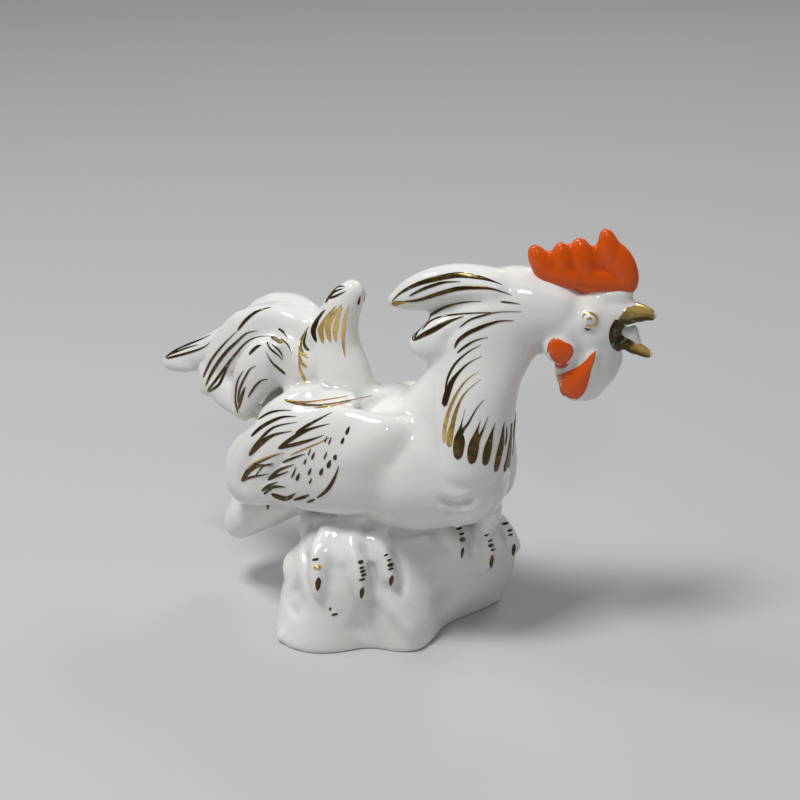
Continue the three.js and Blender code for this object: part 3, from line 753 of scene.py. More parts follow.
@dataclass
class Potter:
    """Rolls lumps of clay and sets them by the photograph's camera and the middle planes."""

    view: PhotoView
    middles: Middles
    segments: int = 32
    rings: int = 16

    def find(self, spot: Spot, on_head: bool = True) -> Vector:
        """Finds where a spot lies.

        Args:
            spot: the spot.
            on_head: whether it is measured from the head's middle plane, or else from the body's.

        Returns:
            The point.
        """
        x, y, behind = spot
        middle = self.middles.head if on_head else self.middles.body
        across = self.middles.head_side if on_head else Vector((0, 1, 0))
        ray = self.view.ray((x, y))
        level = (middle - self.view.place).dot(across) + behind * MM
        return self.view.place + ray * (level / ray.dot(across))

    def roll(self, lumps: Sequence[Lump], on_head: bool = True) -> list[bpy.types.Object]:
        """Makes lumps, and their matches on the other side.

        Args:
            lumps: the lumps.
            on_head: whether they are measured from the head's middle plane, or else from the body's.

        Returns:
            The lumps as meshes.
        """
        pieces = []
        for lump in lumps:
            corners = [self.find(spot, on_head) for spot in (lump.middle, lump.tip, lump.side)]
            pieces.append(self.ball(corners, lump.thickness))
            if lump.other is not OtherSide.NONE:
                matching = [self.middles.over(corner, lump.other) for corner in corners]
                pieces.append(self.ball(matching, lump.thickness))
        return pieces

    def ball(self, corners: list[Vector], thickness: float) -> bpy.types.Object:
        """Makes one lump.

        Args:
            corners: its middle, tip and side.
            thickness: its half thickness in millimetres.

        Returns:
            The lump.
        """
        bpy.ops.mesh.primitive_uv_sphere_add(segments=self.segments, ring_count=self.rings, radius=1.0)
        piece = bpy.context.object
        middle, tip, side = corners
        along, across = tip - middle, side - middle
        deep = along.cross(across).normalized() * thickness * MM
        axes = np.array((along, across, deep))
        place_points(piece, lambda points: np.array(middle) + points @ axes)
        return piece


# Places on the skin, and marks made there


@dataclass(frozen=True)
class Seat:
    """A place on the skin: the point and the way out."""

    point: Vector
    out: Vector


def along_path(path: Sequence[Pixel], share: float) -> Pixel:
    """Gives a place on a smooth line through pixels.

    Args:
        path: the pixels.
        share: how far along, from 0 to 1.

    Returns:
        The pixel there.
    """
    spot = share * (len(path) - 1)
    low = min(int(spot), len(path) - 2)
    picks = [path[min(max(low + step, 0), len(path) - 1)] for step in (-1, 0, 1, 2)]
    part = spot - low

    def smooth(before: float, start: float, end: float, after: float) -> float:
        """Follows one coordinate between start and end.

        Args:
            before: the coordinate one pick before the start.
            start: the coordinate at the start.
            end: the coordinate at the end.
            after: the coordinate one pick after the end.

        Returns:
            The coordinate at the place.
        """
        bend = 2 * before - 5 * start + 4 * end - after
        twist = 3 * (start - end) + after - before
        return start + 0.5 * part * (end - before + part * (bend + part * twist))

    return (smooth(*(pick[0] for pick in picks)), smooth(*(pick[1] for pick in picks)))


@dataclass
class SkinFinder:
    """Finds places on the skin from pixels of the photograph, and the matching ones on the other side."""

    skin: bpy.types.Object
    view: PhotoView
    middles: Middles
    jump: float = 7 * MM
    beyond_wing: float = 60 * MM
    least_facing: float = 0.25
    beyond_head: float = 40 * MM
    head_miss: float = 3 * MM

    def __post_init__(self) -> None:
        """Learns the skin's surface."""
        self.surface = BVHTree.FromObject(self.skin, bpy.context.evaluated_depsgraph_get())

    def seats(self, pixels: Sequence[Pixel]) -> list[Seat]:
        """Finds where pixels of the photograph lie on the skin.

        Args:
            pixels: pixels on a line, or on a patch with its middle first.

        Returns:
            The places, in order; a pixel just off the skin, or on a part far behind, gets the nearest place.
        """
        rays = [self.view.ray(pixel) for pixel in pixels]
        hits = [self.surface.ray_cast(self.view.place, ray) for ray in rays]
        last = next((hit[3] for hit in hits if hit[3] is not None), self.view.distance)
        seats = []
        for ray, hit in zip(rays, hits):
            if hit[3] is None or abs(hit[3] - last) > self.jump:
                hit = self.surface.find_nearest(self.view.place + ray * last)
            else:
                last = hit[3]
            seats.append(Seat(hit[0], hit[1]))
        return seats

    def over(self, seat: Seat, other: OtherSide) -> Seat:
        """Finds the matching place on the other side.

        Args:
            seat: a place on the side that the photograph shows.
            other: how the mark is repeated.

        Returns:
            The place on the far side.
        """
        point = self.middles.over(seat.point, other)
        if other in (OtherSide.SAME_PLACE, OtherSide.LEFT_WING):
            hit = self.surface.ray_cast(Vector((point.x, self.beyond_wing, point.z)), Vector((0, -1, 0)))
            if hit[0] is not None and hit[1].y > self.least_facing:
                return Seat(hit[0], hit[1])
        if other is OtherSide.ACROSS_HEAD:
            side = self.middles.head_side
            hit = self.surface.ray_cast(point + self.beyond_head * side, -side)
            if hit[0] is not None and (hit[0] - point).length < self.head_miss:
                return Seat(hit[0], hit[1])
        hit = self.surface.find_nearest(point)
        return Seat(hit[0], hit[1])


@dataclass(frozen=True)
class Mark:
    """One pull or press of the modeller's thumb, picked on the photograph.

    The height is over 0 for a ridge and under 0 for a furrow; smoothing counts rounds of a soft brush.
    """

    path: tuple[Pixel, ...]
    radius: float
    height: float = 0.0
    other: OtherSide = OtherSide.NONE
    smoothing: int = 0


@dataclass
class Modeller(SkinFinder):
    """Models ridges, furrows and soft joints on the skin before it is fired."""

    stations: int = 24
    fading: float = 0.32
    left_at_ends: float = 0.12
    facing_gain: float = 3.0

    def work(self, marks: Sequence[Mark]) -> None:
        """Makes all marks, the soft ones first.

        Args:
            marks: the marks, in any order.
        """
        shares = [step / (self.stations - 1) for step in range(self.stations)]
        for mark in sorted(marks, key=lambda one: -one.smoothing):
            line = self.seats([along_path(mark.path, share) for share in shares])
            lines = [line]
            if mark.other is not OtherSide.NONE:
                lines.append([self.over(seat, mark.other) for seat in line])
            for seats in lines:
                self.touch(seats, mark)

    def touch(self, seats: list[Seat], mark: Mark) -> None:
        """Makes one mark along places on the skin.

        Args:
            seats: the places.
            mark: what is done there.
        """
        points = points_of(self.skin)
        spots = np.array([seat.point for seat in seats])
        outs = np.array([seat.out for seat in seats])
        reach = mark.radius * MM
        low, high = spots.min(0) - reach, spots.max(0) + reach
        near = np.nonzero(((points > low) & (points < high)).all(1))[0]
        gaps = np.linalg.norm(points[near, None, :] - spots[None, :, :], axis=2)
        nearest = gaps.argmin(1)
        share = np.clip(1 - (gaps.min(1) / reach) ** 2, 0, 1) ** 2
        facing = (normals_of(self.skin)[near] * outs[nearest]).sum(1)
        share *= np.clip(facing * self.facing_gain, 0, 1)
        if mark.smoothing:
            self.soften_part(near, share, mark.smoothing)
        if mark.height:
            steps = nearest / (len(seats) - 1)
            ends = np.clip(np.minimum(steps, 1 - steps) / self.fading, 0, 1)
            share *= self.left_at_ends + (1 - self.left_at_ends) * ends * ends * (3 - 2 * ends)
            points[near] += outs[nearest] * (share * mark.height * MM)[:, None]
            place_points(self.skin, lambda _: points)

    def soften_part(self, near: np.ndarray, share: np.ndarray, rounds: int) -> None:
        """Smooths part of the skin.

        Args:
            near: the points that may move.
            share: how much each of them moves.
            rounds: how many times they are smoothed.
        """
        group = self.skin.vertex_groups.new(name="soft")
        for index, weight in zip(near, share):
            if weight > 0:
                group.add([int(index)], float(weight), "REPLACE")
        soften(self.skin, rounds, vertex_group="soft")
        self.skin.vertex_groups.clear()


MODELLING = (
    # Wing: soft front end, the fold below the shoulder blade, the shoulder, the flight feathers
    Mark(
        ((372, 398), (381, 415), (380, 440), (374, 470), (366, 498)),
        radius=7,
        smoothing=60,
        other=OtherSide.LEFT_WING,
    ),
    Mark(((404, 393), (415, 410), (428, 440), (437, 468)), 6, smoothing=50, other=OtherSide.ACROSS_BODY),
    Mark(((392, 389), (376, 399), (362, 410), (348, 422), (333, 436)), 3.2, -1.4, OtherSide.LEFT_WING),
    Mark(((402, 412), (385, 432), (362, 452), (345, 478)), 9, 1.2, OtherSide.LEFT_WING),
    Mark(((249, 426), (232, 450), (229, 476), (236, 497)), 3.2, 0.9, OtherSide.LEFT_WING),
    Mark(((263, 439), (247, 463), (243, 482), (247, 496)), 3.4, -0.7, OtherSide.LEFT_WING),
    Mark(((258, 504), (280, 507), (300, 510)), 3.4, -1.8, OtherSide.LEFT_WING),
    Mark(((288, 452), (274, 470), (260, 487)), 2.4, -0.6, OtherSide.LEFT_WING),
    # Tail: the side feathers run smoothly into the arch
    Mark(
        ((244, 306), (262, 303), (282, 305), (300, 311), (318, 321)),
        radius=5.5,
        smoothing=110,
        other=OtherSide.SAME_PLACE,
    ),
    Mark(((201, 394), (214, 407), (238, 418)), 5, smoothing=70, other=OtherSide.ACROSS_BODY),
    # Neck and hackle
    Mark(((424, 315), (445, 306), (475, 300), (505, 300)), 3.0, -0.6, OtherSide.SAME_PLACE),
    Mark(((441, 354), (446, 340), (456, 330), (470, 322)), 2.4, -0.7, OtherSide.SAME_PLACE),
    Mark(((438, 366), (434, 385), (433, 405), (436, 430), (444, 458)), 3.4, -0.5, OtherSide.ACROSS_BODY),
    # Breast: the flap and the hollow below it
    Mark(((436, 497), (450, 505), (466, 504), (480, 497)), 3.2, -1.5),
    Mark(((442, 510), (454, 515), (464, 511)), 4.0, -1.0),
    # Face: cheek, below the eye, throat, below the comb
    Mark(((566, 332), (577, 344), (581, 358)), 2.6, -0.5, OtherSide.ACROSS_HEAD),
    Mark(((580, 330), (590, 334), (600, 330)), 3.0, -0.45, OtherSide.ACROSS_HEAD),
    Mark(((617, 352), (619, 362), (616, 376), (609, 388)), 4.0, 0.7, OtherSide.ACROSS_HEAD),
    Mark(((524, 268), (538, 277), (556, 284), (574, 289), (588, 293)), 4.5, -0.8, OtherSide.ACROSS_HEAD),
    # Right foot: three toes, a wide hollow between the first two and a narrow one beside the third
    Mark(((313, 536), (315, 556), (318, 576), (319, 600)), 2.8, 1.0),
    Mark(((347, 538), (355, 558), (361, 578), (363, 604)), 3.2, 1.1),
    Mark(((366, 532), (381, 550), (389, 566), (393, 592)), 3.0, 1.2),
    Mark(((330, 548), (333, 568), (337, 594)), 5.0, -0.5),
    Mark(((355, 536), (366, 555), (374, 576), (375, 602)), 2.6, -1.0),
    Mark(((388, 545), (399, 563), (403, 582), (396, 602)), 3.0, -0.9),
    Mark(((303, 540), (305, 562), (306, 592)), 2.6, -0.8),
    # Left foot
    Mark(((461, 524), (460, 545), (462, 564)), 2.6, 0.9),
    Mark(((481, 522), (487, 536), (491, 552), (492, 574)), 2.6, 0.8),
    Mark(((505, 522), (510, 538), (514, 562)), 2.4, 0.7),
    Mark(((470, 528), (470, 545), (473, 566)), 2.6, -0.7),
    Mark(((489, 518), (496, 538), (498, 556), (494, 574)), 2.2, -0.8),
    # Rock: the soft, hollow flank on the left, its foot, the ridge and valleys in front
    Mark(((294, 556), (293, 575), (294, 596)), 9.0, smoothing=90),
    Mark(((291, 580), (294, 598), (289, 618)), 7.5, -1.7),
    Mark(((304, 548), (307, 560), (307, 574)), 3.6, -0.7),
    Mark(((278, 633), (284, 640)), 3.6, 1.0),
    Mark(((384, 590), (396, 609), (408, 626), (418, 646)), 5.0, 1.9),
    Mark(((376, 596), (367, 616), (358, 640)), 6.5, -1.1),
    Mark(((418, 540), (432, 562), (426, 588)), 9.0, -1.4),
    Mark(((428, 604), (454, 592), (486, 578)), 7.0, -0.9),
    # The joint between wing and back, softened after the rock's flank
    Mark(((288, 400), (306, 400), (324, 401), (344, 402)), 6, smoothing=90, other=OtherSide.LEFT_WING),
)
FILLS = (
    # Right thigh
    Lump((338, 518, -13), (301, 520, -12), (338, 527, -13), 5.0),
    Lump((309, 525, -14), (308, 508, -14), (302, 526, -14), 4.0),
    # Left leg, from the breast down to the foot
    Lump((488, 517, 10), (491, 498, 6), (475, 519, 10), 5.0),
    # Corner of the rock
    Lump((303, 572, -18), (300, 548, -15), (286, 569, -18), 6.5),
    # Between wing and back
    Lump((289, 405, -17.5), (259, 420, -20), (284, 393.5, -16.5), 4.5, other=OtherSide.LEFT_WING),
    Lump((322, 402, -14.5), (360, 402, -12), (322, 391, -13), 4.0, other=OtherSide.LEFT_WING),
    # Tail: the web between the side feathers, and the lower half of the middle one
    Lump((221, 388, -8), (241, 416, -11), (210, 396, -8), 2.4, other=OtherSide.ACROSS_BODY),
    Lump((183, 363, 2), (162, 362, 2), (184, 372, 2), 2.8),
)
# The brow below the comb, and the corner of the open mouth
UNDER_COMB = (Lump((605, 293, 0), (636, 291.5, 0), (605, 300, 0), 3.0),)
GAPE = (Lump((616, 337, 0), (615, 318.5, 0), (622.5, 337, 0), 3.2),)
# Upper beak and its tip, then the root and the length of the lower beak
BEAK = (
    *GAPE,
    Lump((628, 311.5, 0), (652, 314.5, 0), (627, 321.5, 0), 2.9),
    Lump((646, 314, 0), (656, 316, 0), (645, 319.5, 0), 1.9),
    Lump((629, 343, 0), (618, 334, 0), (625, 349, 0), 2.5),
    Lump((636, 347.5, 0), (652.5, 356, 0), (633.5, 352.3, 0), 2.3),
)
TONGUE = (
    Lump((629, 334.5, 0), (640, 338, 0), (629, 327.5, 0), 1.9),
    Lump((634, 334, 0), (635, 325.5, 0), (638.7, 336, 0), 1.8),
    Lump((634, 339.5, 0), (641, 343.5, 0), (631.5, 343.5, 0), 1.6),
)
# The points from the back to the front, the front's lower end, and the comb's foot
COMB = (
    Lump((542, 265, -2.4), (532.5, 244.5, -2.2), (553, 262, -2.4), 2.3),
    Lump((551, 266, -2.4), (549.5, 251, -2.2), (558, 266, -2.4), 1.7),
    Lump((562, 266, -2.2), (560.5, 241.5, -2), (573, 266, -2.2), 2.5),
    Lump((582, 266, -1.4), (577.5, 237.5, -1.2), (596, 262, -1.2), 2.6),
    Lump((598, 263, -0.6), (595, 246, -0.6), (607, 263, -0.4), 1.5),
    Lump((611, 256, 0), (603.5, 228.5, 0), (622, 251, 0), 2.5),
    Lump((621, 268, 0), (610, 242, 0), (635.5, 261.5, 0), 2.7),
    Lump((624, 279, 0), (624, 292.5, 0), (638.5, 277, 0), 2.7),
    Lump((590, 279.5, -1.7), (634, 284, -0.4), (589, 291.5, -1.7), 2.2),
    Lump((560, 275, -2.9), (533, 268, -2.6), (559, 286, -2.9), 2.0),
)


# Glazed castings


@dataclass
class GlazedSkin:
    """All the white castings, luted and fired under one glaze that rounds every joint."""

    castings: tuple[str, ...] = (
        "rock_base",
        "body",
        "neck",
        "crest_lock",
        *pair("lock"),
        "head",
        *pair("wing"),
        "saddle_plume",
        "tail",
        *pair("tail_feather"),
        *pair("outer_feather"),
        *pair("covert"),
        "rump_fluff",
        *pair("foot"),
    )
    cores: tuple[str, ...] = (*pair("ear_lobe"), *pair("wattle"), "upper_beak")
    grain: float = 0.72 * MM
    slip: float = 0.3 * MM
    rounding: float = 0.15 * MM
    fillet: float = 0.8 * MM
    sharp_angle: float = 48.0
    rounds_before: int = 4
    rounds_after: int = 3
    crease_rounds: int = 10
    ground: float = 0.3 * MM
    rim: float = 0.5 * MM
    ceiling: float = 12 * MM
    thinned: float = 0.85

    def build(self, potter: Potter, finish: bpy.types.Material) -> bpy.types.Object:
        """Makes the glazed skin.

        Args:
            potter: who rolls the lumps that fill the joints.
            finish: the glaze.

        Returns:
            The skin, which stands for all the white castings.
        """
        copies = [self.rounded(name) for name in (*self.castings, *self.cores)]
        lumps = [*potter.roll(FILLS, on_head=False), *potter.roll((*UNDER_COMB, *GAPE))]
        skin = join_pieces([*copies, *lumps], "glazed_skin")
        for height in (self.slip + self.rounding, self.fillet, -self.fillet - self.slip):
            swell(skin, height, self.grain)
        soften(skin, self.rounds_before)
        Modeller(skin, potter.view, potter.middles).work(MODELLING)
        soften(skin, self.rounds_after)
        self.grind_foot(skin)
        self.thin_out_inside(skin)
        write_attribute(skin, "crease", hollowness(skin, self.crease_rounds) / MM)
        return finish_piece(skin, "porcelain", finish, *self.castings)

    def rounded(self, name: str) -> bpy.types.Object:
        """Copies a casting and rounds its facets, but not its sharp edges.

        Args:
            name: the casting's node.

        Returns:
            The rounded copy.
        """
        copy = copy_of_casting(name)
        edit(
            copy,
            lambda: bpy.ops.mesh.select_all(action="DESELECT"),
            lambda: bpy.ops.mesh.select_mode(type="EDGE"),
            lambda: bpy.ops.mesh.edges_select_sharp(sharpness=math.radians(self.sharp_angle)),
            lambda: bpy.ops.transform.edge_crease(value=1.0),
        )
        apply_modifier(copy, "SUBSURF", levels=1, render_levels=1)
        return copy

    def grind_foot(self, skin: bpy.types.Object) -> None:
        """Grinds the foot of the rock flat, so that all that lies near the ground comes down to it.

        Args:
            skin: the glazed skin.
        """

        def flatten(points: np.ndarray) -> np.ndarray:
            """Gives the ground points."""
            points[:, 2] = np.where(points[:, 2] < self.ground, 0.0, points[:, 2])
            return points

        place_points(skin, flatten)

    def thin_out_inside(self, skin: bpy.types.Object) -> None:
        """Makes the mesh of the unseen hollow coarser.

        Args:
            skin: the glazed skin.
        """
        inside = self.points_inside(skin)
        group = skin.vertex_groups.new(name="inside")
        group.add([int(index) for index in np.nonzero(inside)[0]], 1.0, "REPLACE")
        apply_modifier(
            skin,
            "DECIMATE",
            decimate_type="COLLAPSE",
            ratio=1.0 - self.thinned * float(inside.mean()),
            vertex_group="inside",
            vertex_group_factor=1000.0,
        )
        skin.vertex_groups.clear()

    def points_inside(self, skin: bpy.types.Object) -> np.ndarray:
        """Finds the points of the hollow, spreading from the rock's ceiling to the foot's edge.

        Args:
            skin: the glazed skin.

        Returns:
            True for each point inside.
        """
        points = points_of(skin)
        low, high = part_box("rock_base")
        middle = (low + high) / 2
        start = np.linalg.norm(points - np.array((middle.x, middle.y, self.ceiling)), axis=1).argmin()
        first, second = edges_of(skin)
        barred = points[:, 2] < self.rim
        inside = np.zeros(len(points), dtype=bool)
        inside[start] = True
        while True:
            reached = inside.copy()
            reached[second[inside[first]]] = True
            reached[first[inside[second]]] = True
            reached &= ~barred
            if reached.sum() == inside.sum():
                return inside
            inside = reached


@dataclass
class SoftPart:
    """A part of the head with a finish of its own, such as the comb, modelled from lumps.

    It stands for its castings, and those that are kept are copied into it.
    """

    name: str
    castings: tuple[str, ...]
    slot: str
    lumps: tuple[Lump, ...]
    kept: tuple[str, ...] = ()
    grain: float = 0.4 * MM
    swelling: float = 0.1 * MM
    fillet: float = 0.6 * MM
    smoothing: int = 6
    crease_rounds: int = 8
    potter: Potter = field(init=False)

    def build(self, potter: Potter, finish: bpy.types.Material) -> bpy.types.Object:
        """Makes the piece.

        Args:
            potter: who rolls its lumps.
            finish: its material.

        Returns:
            The piece, which stands for its castings.
        """
        self.potter = potter
        copies = [copy_of_casting(name) for name in self.kept]
        piece = join_pieces([*copies, *potter.roll(self.lumps)], self.name)
        for height in (self.swelling, self.fillet, -self.fillet):
            swell(piece, height, self.grain)
        soften(piece, self.smoothing)
        self.mark(piece)
        return finish_piece(piece, self.slot, finish, *self.castings)

    def mark(self, piece: bpy.types.Object) -> None:
        """Stores what the finish reads.

        Args:
            piece: the piece.
        """
        write_attribute(piece, "crease", hollowness(piece, self.crease_rounds) / MM)
        bare = self.bare(piece)
        for name in ("bare", "worn"):
            write_attribute(piece, name, bare)

    def bare(self, piece: bpy.types.Object) -> np.ndarray:
        """Tells how bare of its finish each point is, from 0 to 1: not at all."""
        return np.zeros(len(piece.data.vertices))


@dataclass
class Comb(SoftPart):
    """The enamelled comb, left white low at the back of its last point."""

    bare_below: Spot = (531, 259, 0)
    bare_length: float = 4 * MM
    bare_facing: float = 0.72
    bare_fading: float = 0.2

    def bare(self, piece: bpy.types.Object) -> np.ndarray:
        """Tells how bare of enamel each point is.

        Args:
            piece: the comb.

        Returns:
            1 where the last point looks back, 0 on the rest.
        """
        ahead = np.array(self.potter.middles.ahead)
        points = points_of(piece)
        places = points @ ahead
        facing = -normals_of(piece) @ ahead
        backwards = np.clip((facing - self.bare_facing) / self.bare_fading, 0, 1)
        low = np.clip((self.potter.find(self.bare_below).z - points[:, 2]) / MM, 0, 1)
        return backwards * low * (places < places.min() + self.bare_length)


@dataclass
class Beak(SoftPart):
    """The gilded beak, worn white at its two tips, with painted shade in the gape and painted light where it
    faces up, and tucked in at its root.
    """

    root: tuple[Spot, Spot] = ((629, 300.5, 0), (613, 319.5, 0))
    root_fading: float = 0.5 * MM
    tuck: float = 0.5
    gape: Spot = (616, 337, 0)
    # how far the painted shade in the gape reaches, and how softly it fades
    gape_reach: float = 6.2 * MM
    gape_fading: float = 2 * MM
    gape_core: float = 4 * MM
    # painted glint: its level, and how much more the gold gets where it faces up, as painted light from above
    glint_level: float = 0.42
    glint_from_above: float = 0.85
    worn_most: float = 1.15
    worn_reach: float = 1.3 * MM

    def mark(self, piece: bpy.types.Object) -> None:
        """Stores what the finish reads, and tucks the root in under the glaze.

        Args:
            piece: the beak.
        """
        super().mark(piece)
        points = points_of(piece)
        gaps = np.linalg.norm(points - np.array(self.potter.find(self.gape)), axis=1)
        # painted shade darkens the gold towards the gape; painted light brightens it where it faces up
        dark = np.clip((self.gape_reach - gaps) / self.gape_fading, 0, 1)
        painted_glint = np.clip(self.glint_level + self.glint_from_above * normals_of(piece)[:, 2], 0.0, 1.0)
        write_attribute(piece, "painted_glint", painted_glint * (1 - dark))
        top, bottom = (self.potter.find(spot) for spot in self.root)
        away = self.potter.middles.head_side.cross(top - bottom).normalized()
        if away.dot(self.potter.middles.ahead) > 0:
            away = -away
        depth = (points - np.array(bottom)) @ np.array(away)
        share = np.clip(depth / self.root_fading, 0, 1)[:, None] * self.tuck
        core = points[(depth > 0) & (gaps > self.gape_core)].mean(0)
        place_points(piece, lambda places: places + (core - places) * share)

    def bare(self, piece: bpy.types.Object) -> np.ndarray:
        """Tells how worn the gold is.

        Args:
            piece: the beak.

        Returns:
            1 at the very tips of both halves, 0 on the rest.
        """
        points = points_of(piece)
        ahead = points @ np.array(self.potter.middles.ahead)
        upper = points[:, 2] > self.potter.find(self.gape).z
        reach = np.where(upper, ahead[upper].max(), ahead[~upper].max()) - ahead
        return np.clip(self.worn_most - reach / self.worn_reach, 0.0, 1.0)


# Gold and enamel laid on the glaze; the far_ values are for patches repeated on the head's other side


@dataclass(frozen=True)
class Touch:
    """One touch of the gilder's brush, from its loaded end to its tail, picked on the photograph.

    The width is in pixels where the touch is fullest, and swell says how far along that is. The larger
    head and tail are, the faster the touch thins out before and after that.
    """

    width: float
    path: tuple[Pixel, ...]
    swell: float = 0.3
    tail: float = 1.0
    # painted glint: share of the touch painted as a bright glint, the rest a painted dark reflection
    painted_glint: float = 0.15
    head: float = 0.75

    def fullness(self, share: float) -> float:
        """Gives the width at a place on the touch.

        Args:
            share: how far along the place is, from 0 to 1.

        Returns:
            The width there, as a share of the full one.
        """
        swing = math.sin(math.pi * share ** (math.log(0.5) / math.log(self.swell)))
        return max(swing, 0.0) ** (self.head if share < self.swell else self.tail)


@dataclass
class Gilder(SkinFinder):
    """Lays touches of gold and patches of enamel on the glazed skin."""

    stations: int = 18
    faces_across: int = 4
    lift: float = 0.05 * MM
    thickness: float = 0.12 * MM
    least_width: float = 0.03 * MM
    worn_from: float = 0.82
    worn_gain: float = 2.2
    most_leap: float = 2.5
    leap_slack: float = 0.4 * MM
    least_length: float = 0.8
    spokes: int = 48
    rings: int = 10
    weld: float = 0.01 * MM
    far_size: float = 0.86
    far_facing: float = 0.4
    far_margin: float = 2.0
    far_evened: int = 3
    far_rounds: int = 4
    crease_rounds: int = 4

    def __post_init__(self) -> None:
        """Learns the skin's surface, and makes the flat touch that all the others are copied from."""
        super().__post_init__()
        self.blank = self.sheet(self.stations, self.faces_across)

    def sheet(self, along: int, across: int) -> bpy.types.Object:
        """Makes a flat sheet of so many faces along and across."""
        bpy.ops.mesh.primitive_grid_add(x_subdivisions=along, y_subdivisions=across, size=1.0)
        return bpy.context.object

    def across(self, line: list[Seat], place: int) -> Vector:
        """Gives the direction across a touch at one of its places."""
        ahead = line[min(place + 1, len(line) - 1)].point - line[max(place - 1, 0)].point
        return line[place].out.cross(ahead).normalized()

    def ribbon(self, line: list[Seat], widths: list[float], painted_glint: float) -> bpy.types.Object:
        """Copies the blank touch and lays it along places on the skin.

        Args:
            line: places along the touch.
            widths: half width at each place.
            painted_glint: how much of the gold is a painted glint, from 0 for a painted dark reflection to 1.

        Returns:
            The touch, still without thickness.
        """
        piece = copy_piece(self.blank)
        worn = np.zeros(len(piece.data.vertices))
        for index, vertex in enumerate(piece.data.vertices):
            along, beside = vertex.co.x + 0.5, 2 * vertex.co.y
            place = round(along * (len(line) - 1))
            vertex.co = line[place].point + beside * widths[place] * self.across(line, place)
            worn[index] = max(0.0, along - self.worn_from) * self.worn_gain
        write_attribute(piece, "worn", worn)
        write_attribute(piece, "painted_glint", np.full(len(worn), painted_glint))
        return piece

    def lay(self, touch: Touch, other: OtherSide, load: float) -> list[bpy.types.Object]:
        """Lays one touch, and its match on the other side.

        Args:
            touch: the touch.
            other: how it is repeated.
            load: how full the brush is.

        Returns:
            The ribbons.
        """
        shares = [step / self.stations for step in range(self.stations + 1)]
        line = self.seats([along_path(touch.path, share) for share in shares])
        widths = []
        for place, share in enumerate(shares):
            wide = self.view.width_at(line[place].point, self.across(line, place), touch.width * load)
            widths.append(max(0.5 * wide * touch.fullness(share), self.least_width))
        ribbons = [self.ribbon(line, widths, touch.painted_glint)]
        if other is not OtherSide.NONE:
            far = [self.over(seat, other) for seat in line]
            if self.runs_evenly(line, far):
                ribbons.append(self.ribbon(far, widths, touch.painted_glint))
        return ribbons

    def runs_evenly(self, near: list[Seat], far: list[Seat]) -> bool:
        """Compares a repeated touch with the near one.

        Args:
            near: places along the near touch.
            far: places along the repeated one.

        Returns:
            Whether the repeated touch keeps its length and leaps over no gap.
        """
        steps = self.steps_of(near)
        far_steps = self.steps_of(far)
        limits = [self.most_leap * step + self.leap_slack for step in steps]
        even = all(far_step < limit for far_step, limit in zip(far_steps, limits))
        return even and sum(far_steps) > self.least_length * sum(steps)

    def steps_of(self, line: list[Seat]) -> list[float]:
        """Gives the distances from each place to the next."""
        return [(end.point - start.point).length for start, end in zip(line, line[1:])]

    def patch(self, outline: Sequence[Pixel]) -> list[bpy.types.Object]:
        """Fills an outline on the photograph with a patch that follows the skin, on both sides of the head.

        Args:
            outline: pixels round the patch.

        Returns:
            The near patch and the far one, still without thickness.
        """
        ring = [*outline, outline[0]]
        middle = tuple(sum(pixel[axis] for pixel in outline) / len(outline) for axis in (0, 1))
        near = self.sheet(self.spokes, self.rings)
        far = copy_piece(near)
        spots = [middle]
        for vertex in near.data.vertices:
            edge = along_path(ring, (vertex.co.x + 0.5) % 1.0)
            reach = vertex.co.y + 0.5
            spots.append(tuple(start + reach * (end - start) for start, end in zip(middle, edge)))
        seats = self.seats(spots)[1:]
        self.shape(near, [seat.point for seat in seats])
        self.shape(
            far,
            self.repeated(seats),
            lambda: bpy.ops.mesh.vertices_smooth(factor=0.5, repeat=self.far_rounds),
        )
        return [near, far]

    def shape(
        self,
        patch: bpy.types.Object,
        places: Sequence[Vector] | np.ndarray,
        *steps: Callable[[], object],
    ) -> None:
        """Brings a patch to its places on the skin.

        Args:
            patch: the flat patch.
            places: where each of its points goes.
            steps: what is done to it after that, in edit mode.
        """
        for vertex, place in zip(patch.data.vertices, places):
            vertex.co = place
        edit(patch, lambda: merge_doubles(self.weld), *steps)
        # patches get no painted glint, so their gold is all painted dark reflection
        for name in ("worn", "bare", "painted_glint"):
            write_attribute(patch, name, np.zeros(len(patch.data.vertices)))

    def repeated(self, seats: list[Seat]) -> np.ndarray:
        """Repeats a patch across the head, drawn back from where its rim would fold into a crease.

        Args:
            seats: the near patch's places, row by row from its middle to its rim.

        Returns:
            The far points in the same order; each spoke ends while the skin still faces sideways.
        """
        middle = sum((seat.point for seat in seats), Vector()) / len(seats)
        drawn_in = [Seat(middle.lerp(seat.point, self.far_size), seat.out) for seat in seats]
        far = [tuple(self.over(seat, OtherSide.ACROSS_HEAD).point) for seat in drawn_in]
        rows, columns = self.rings + 1, self.spokes + 1
        facing = [seat.out.dot(-self.middles.head_side) > self.far_facing for seat in seats]
        clear = np.cumprod(np.reshape(facing, (rows, columns)), axis=0).sum(axis=0)[:-1] - 1.0
        reach = np.where(clear < self.rings, clear - self.far_margin, self.rings).clip(0.0)
        turns = range(-self.far_evened, self.far_evened + 1)
        reach = sum(np.roll(reach, turn) for turn in turns) / len(turns)
        points = np.reshape(far, (rows, columns, 3))
        steps = np.arange(rows)
        for column in range(columns):
            places = steps / self.rings * reach[column % self.spokes]
            for axis in range(3):
                points[:, column, axis] = np.interp(places, steps, points[:, column, axis])
        return points.reshape(-1, 3)

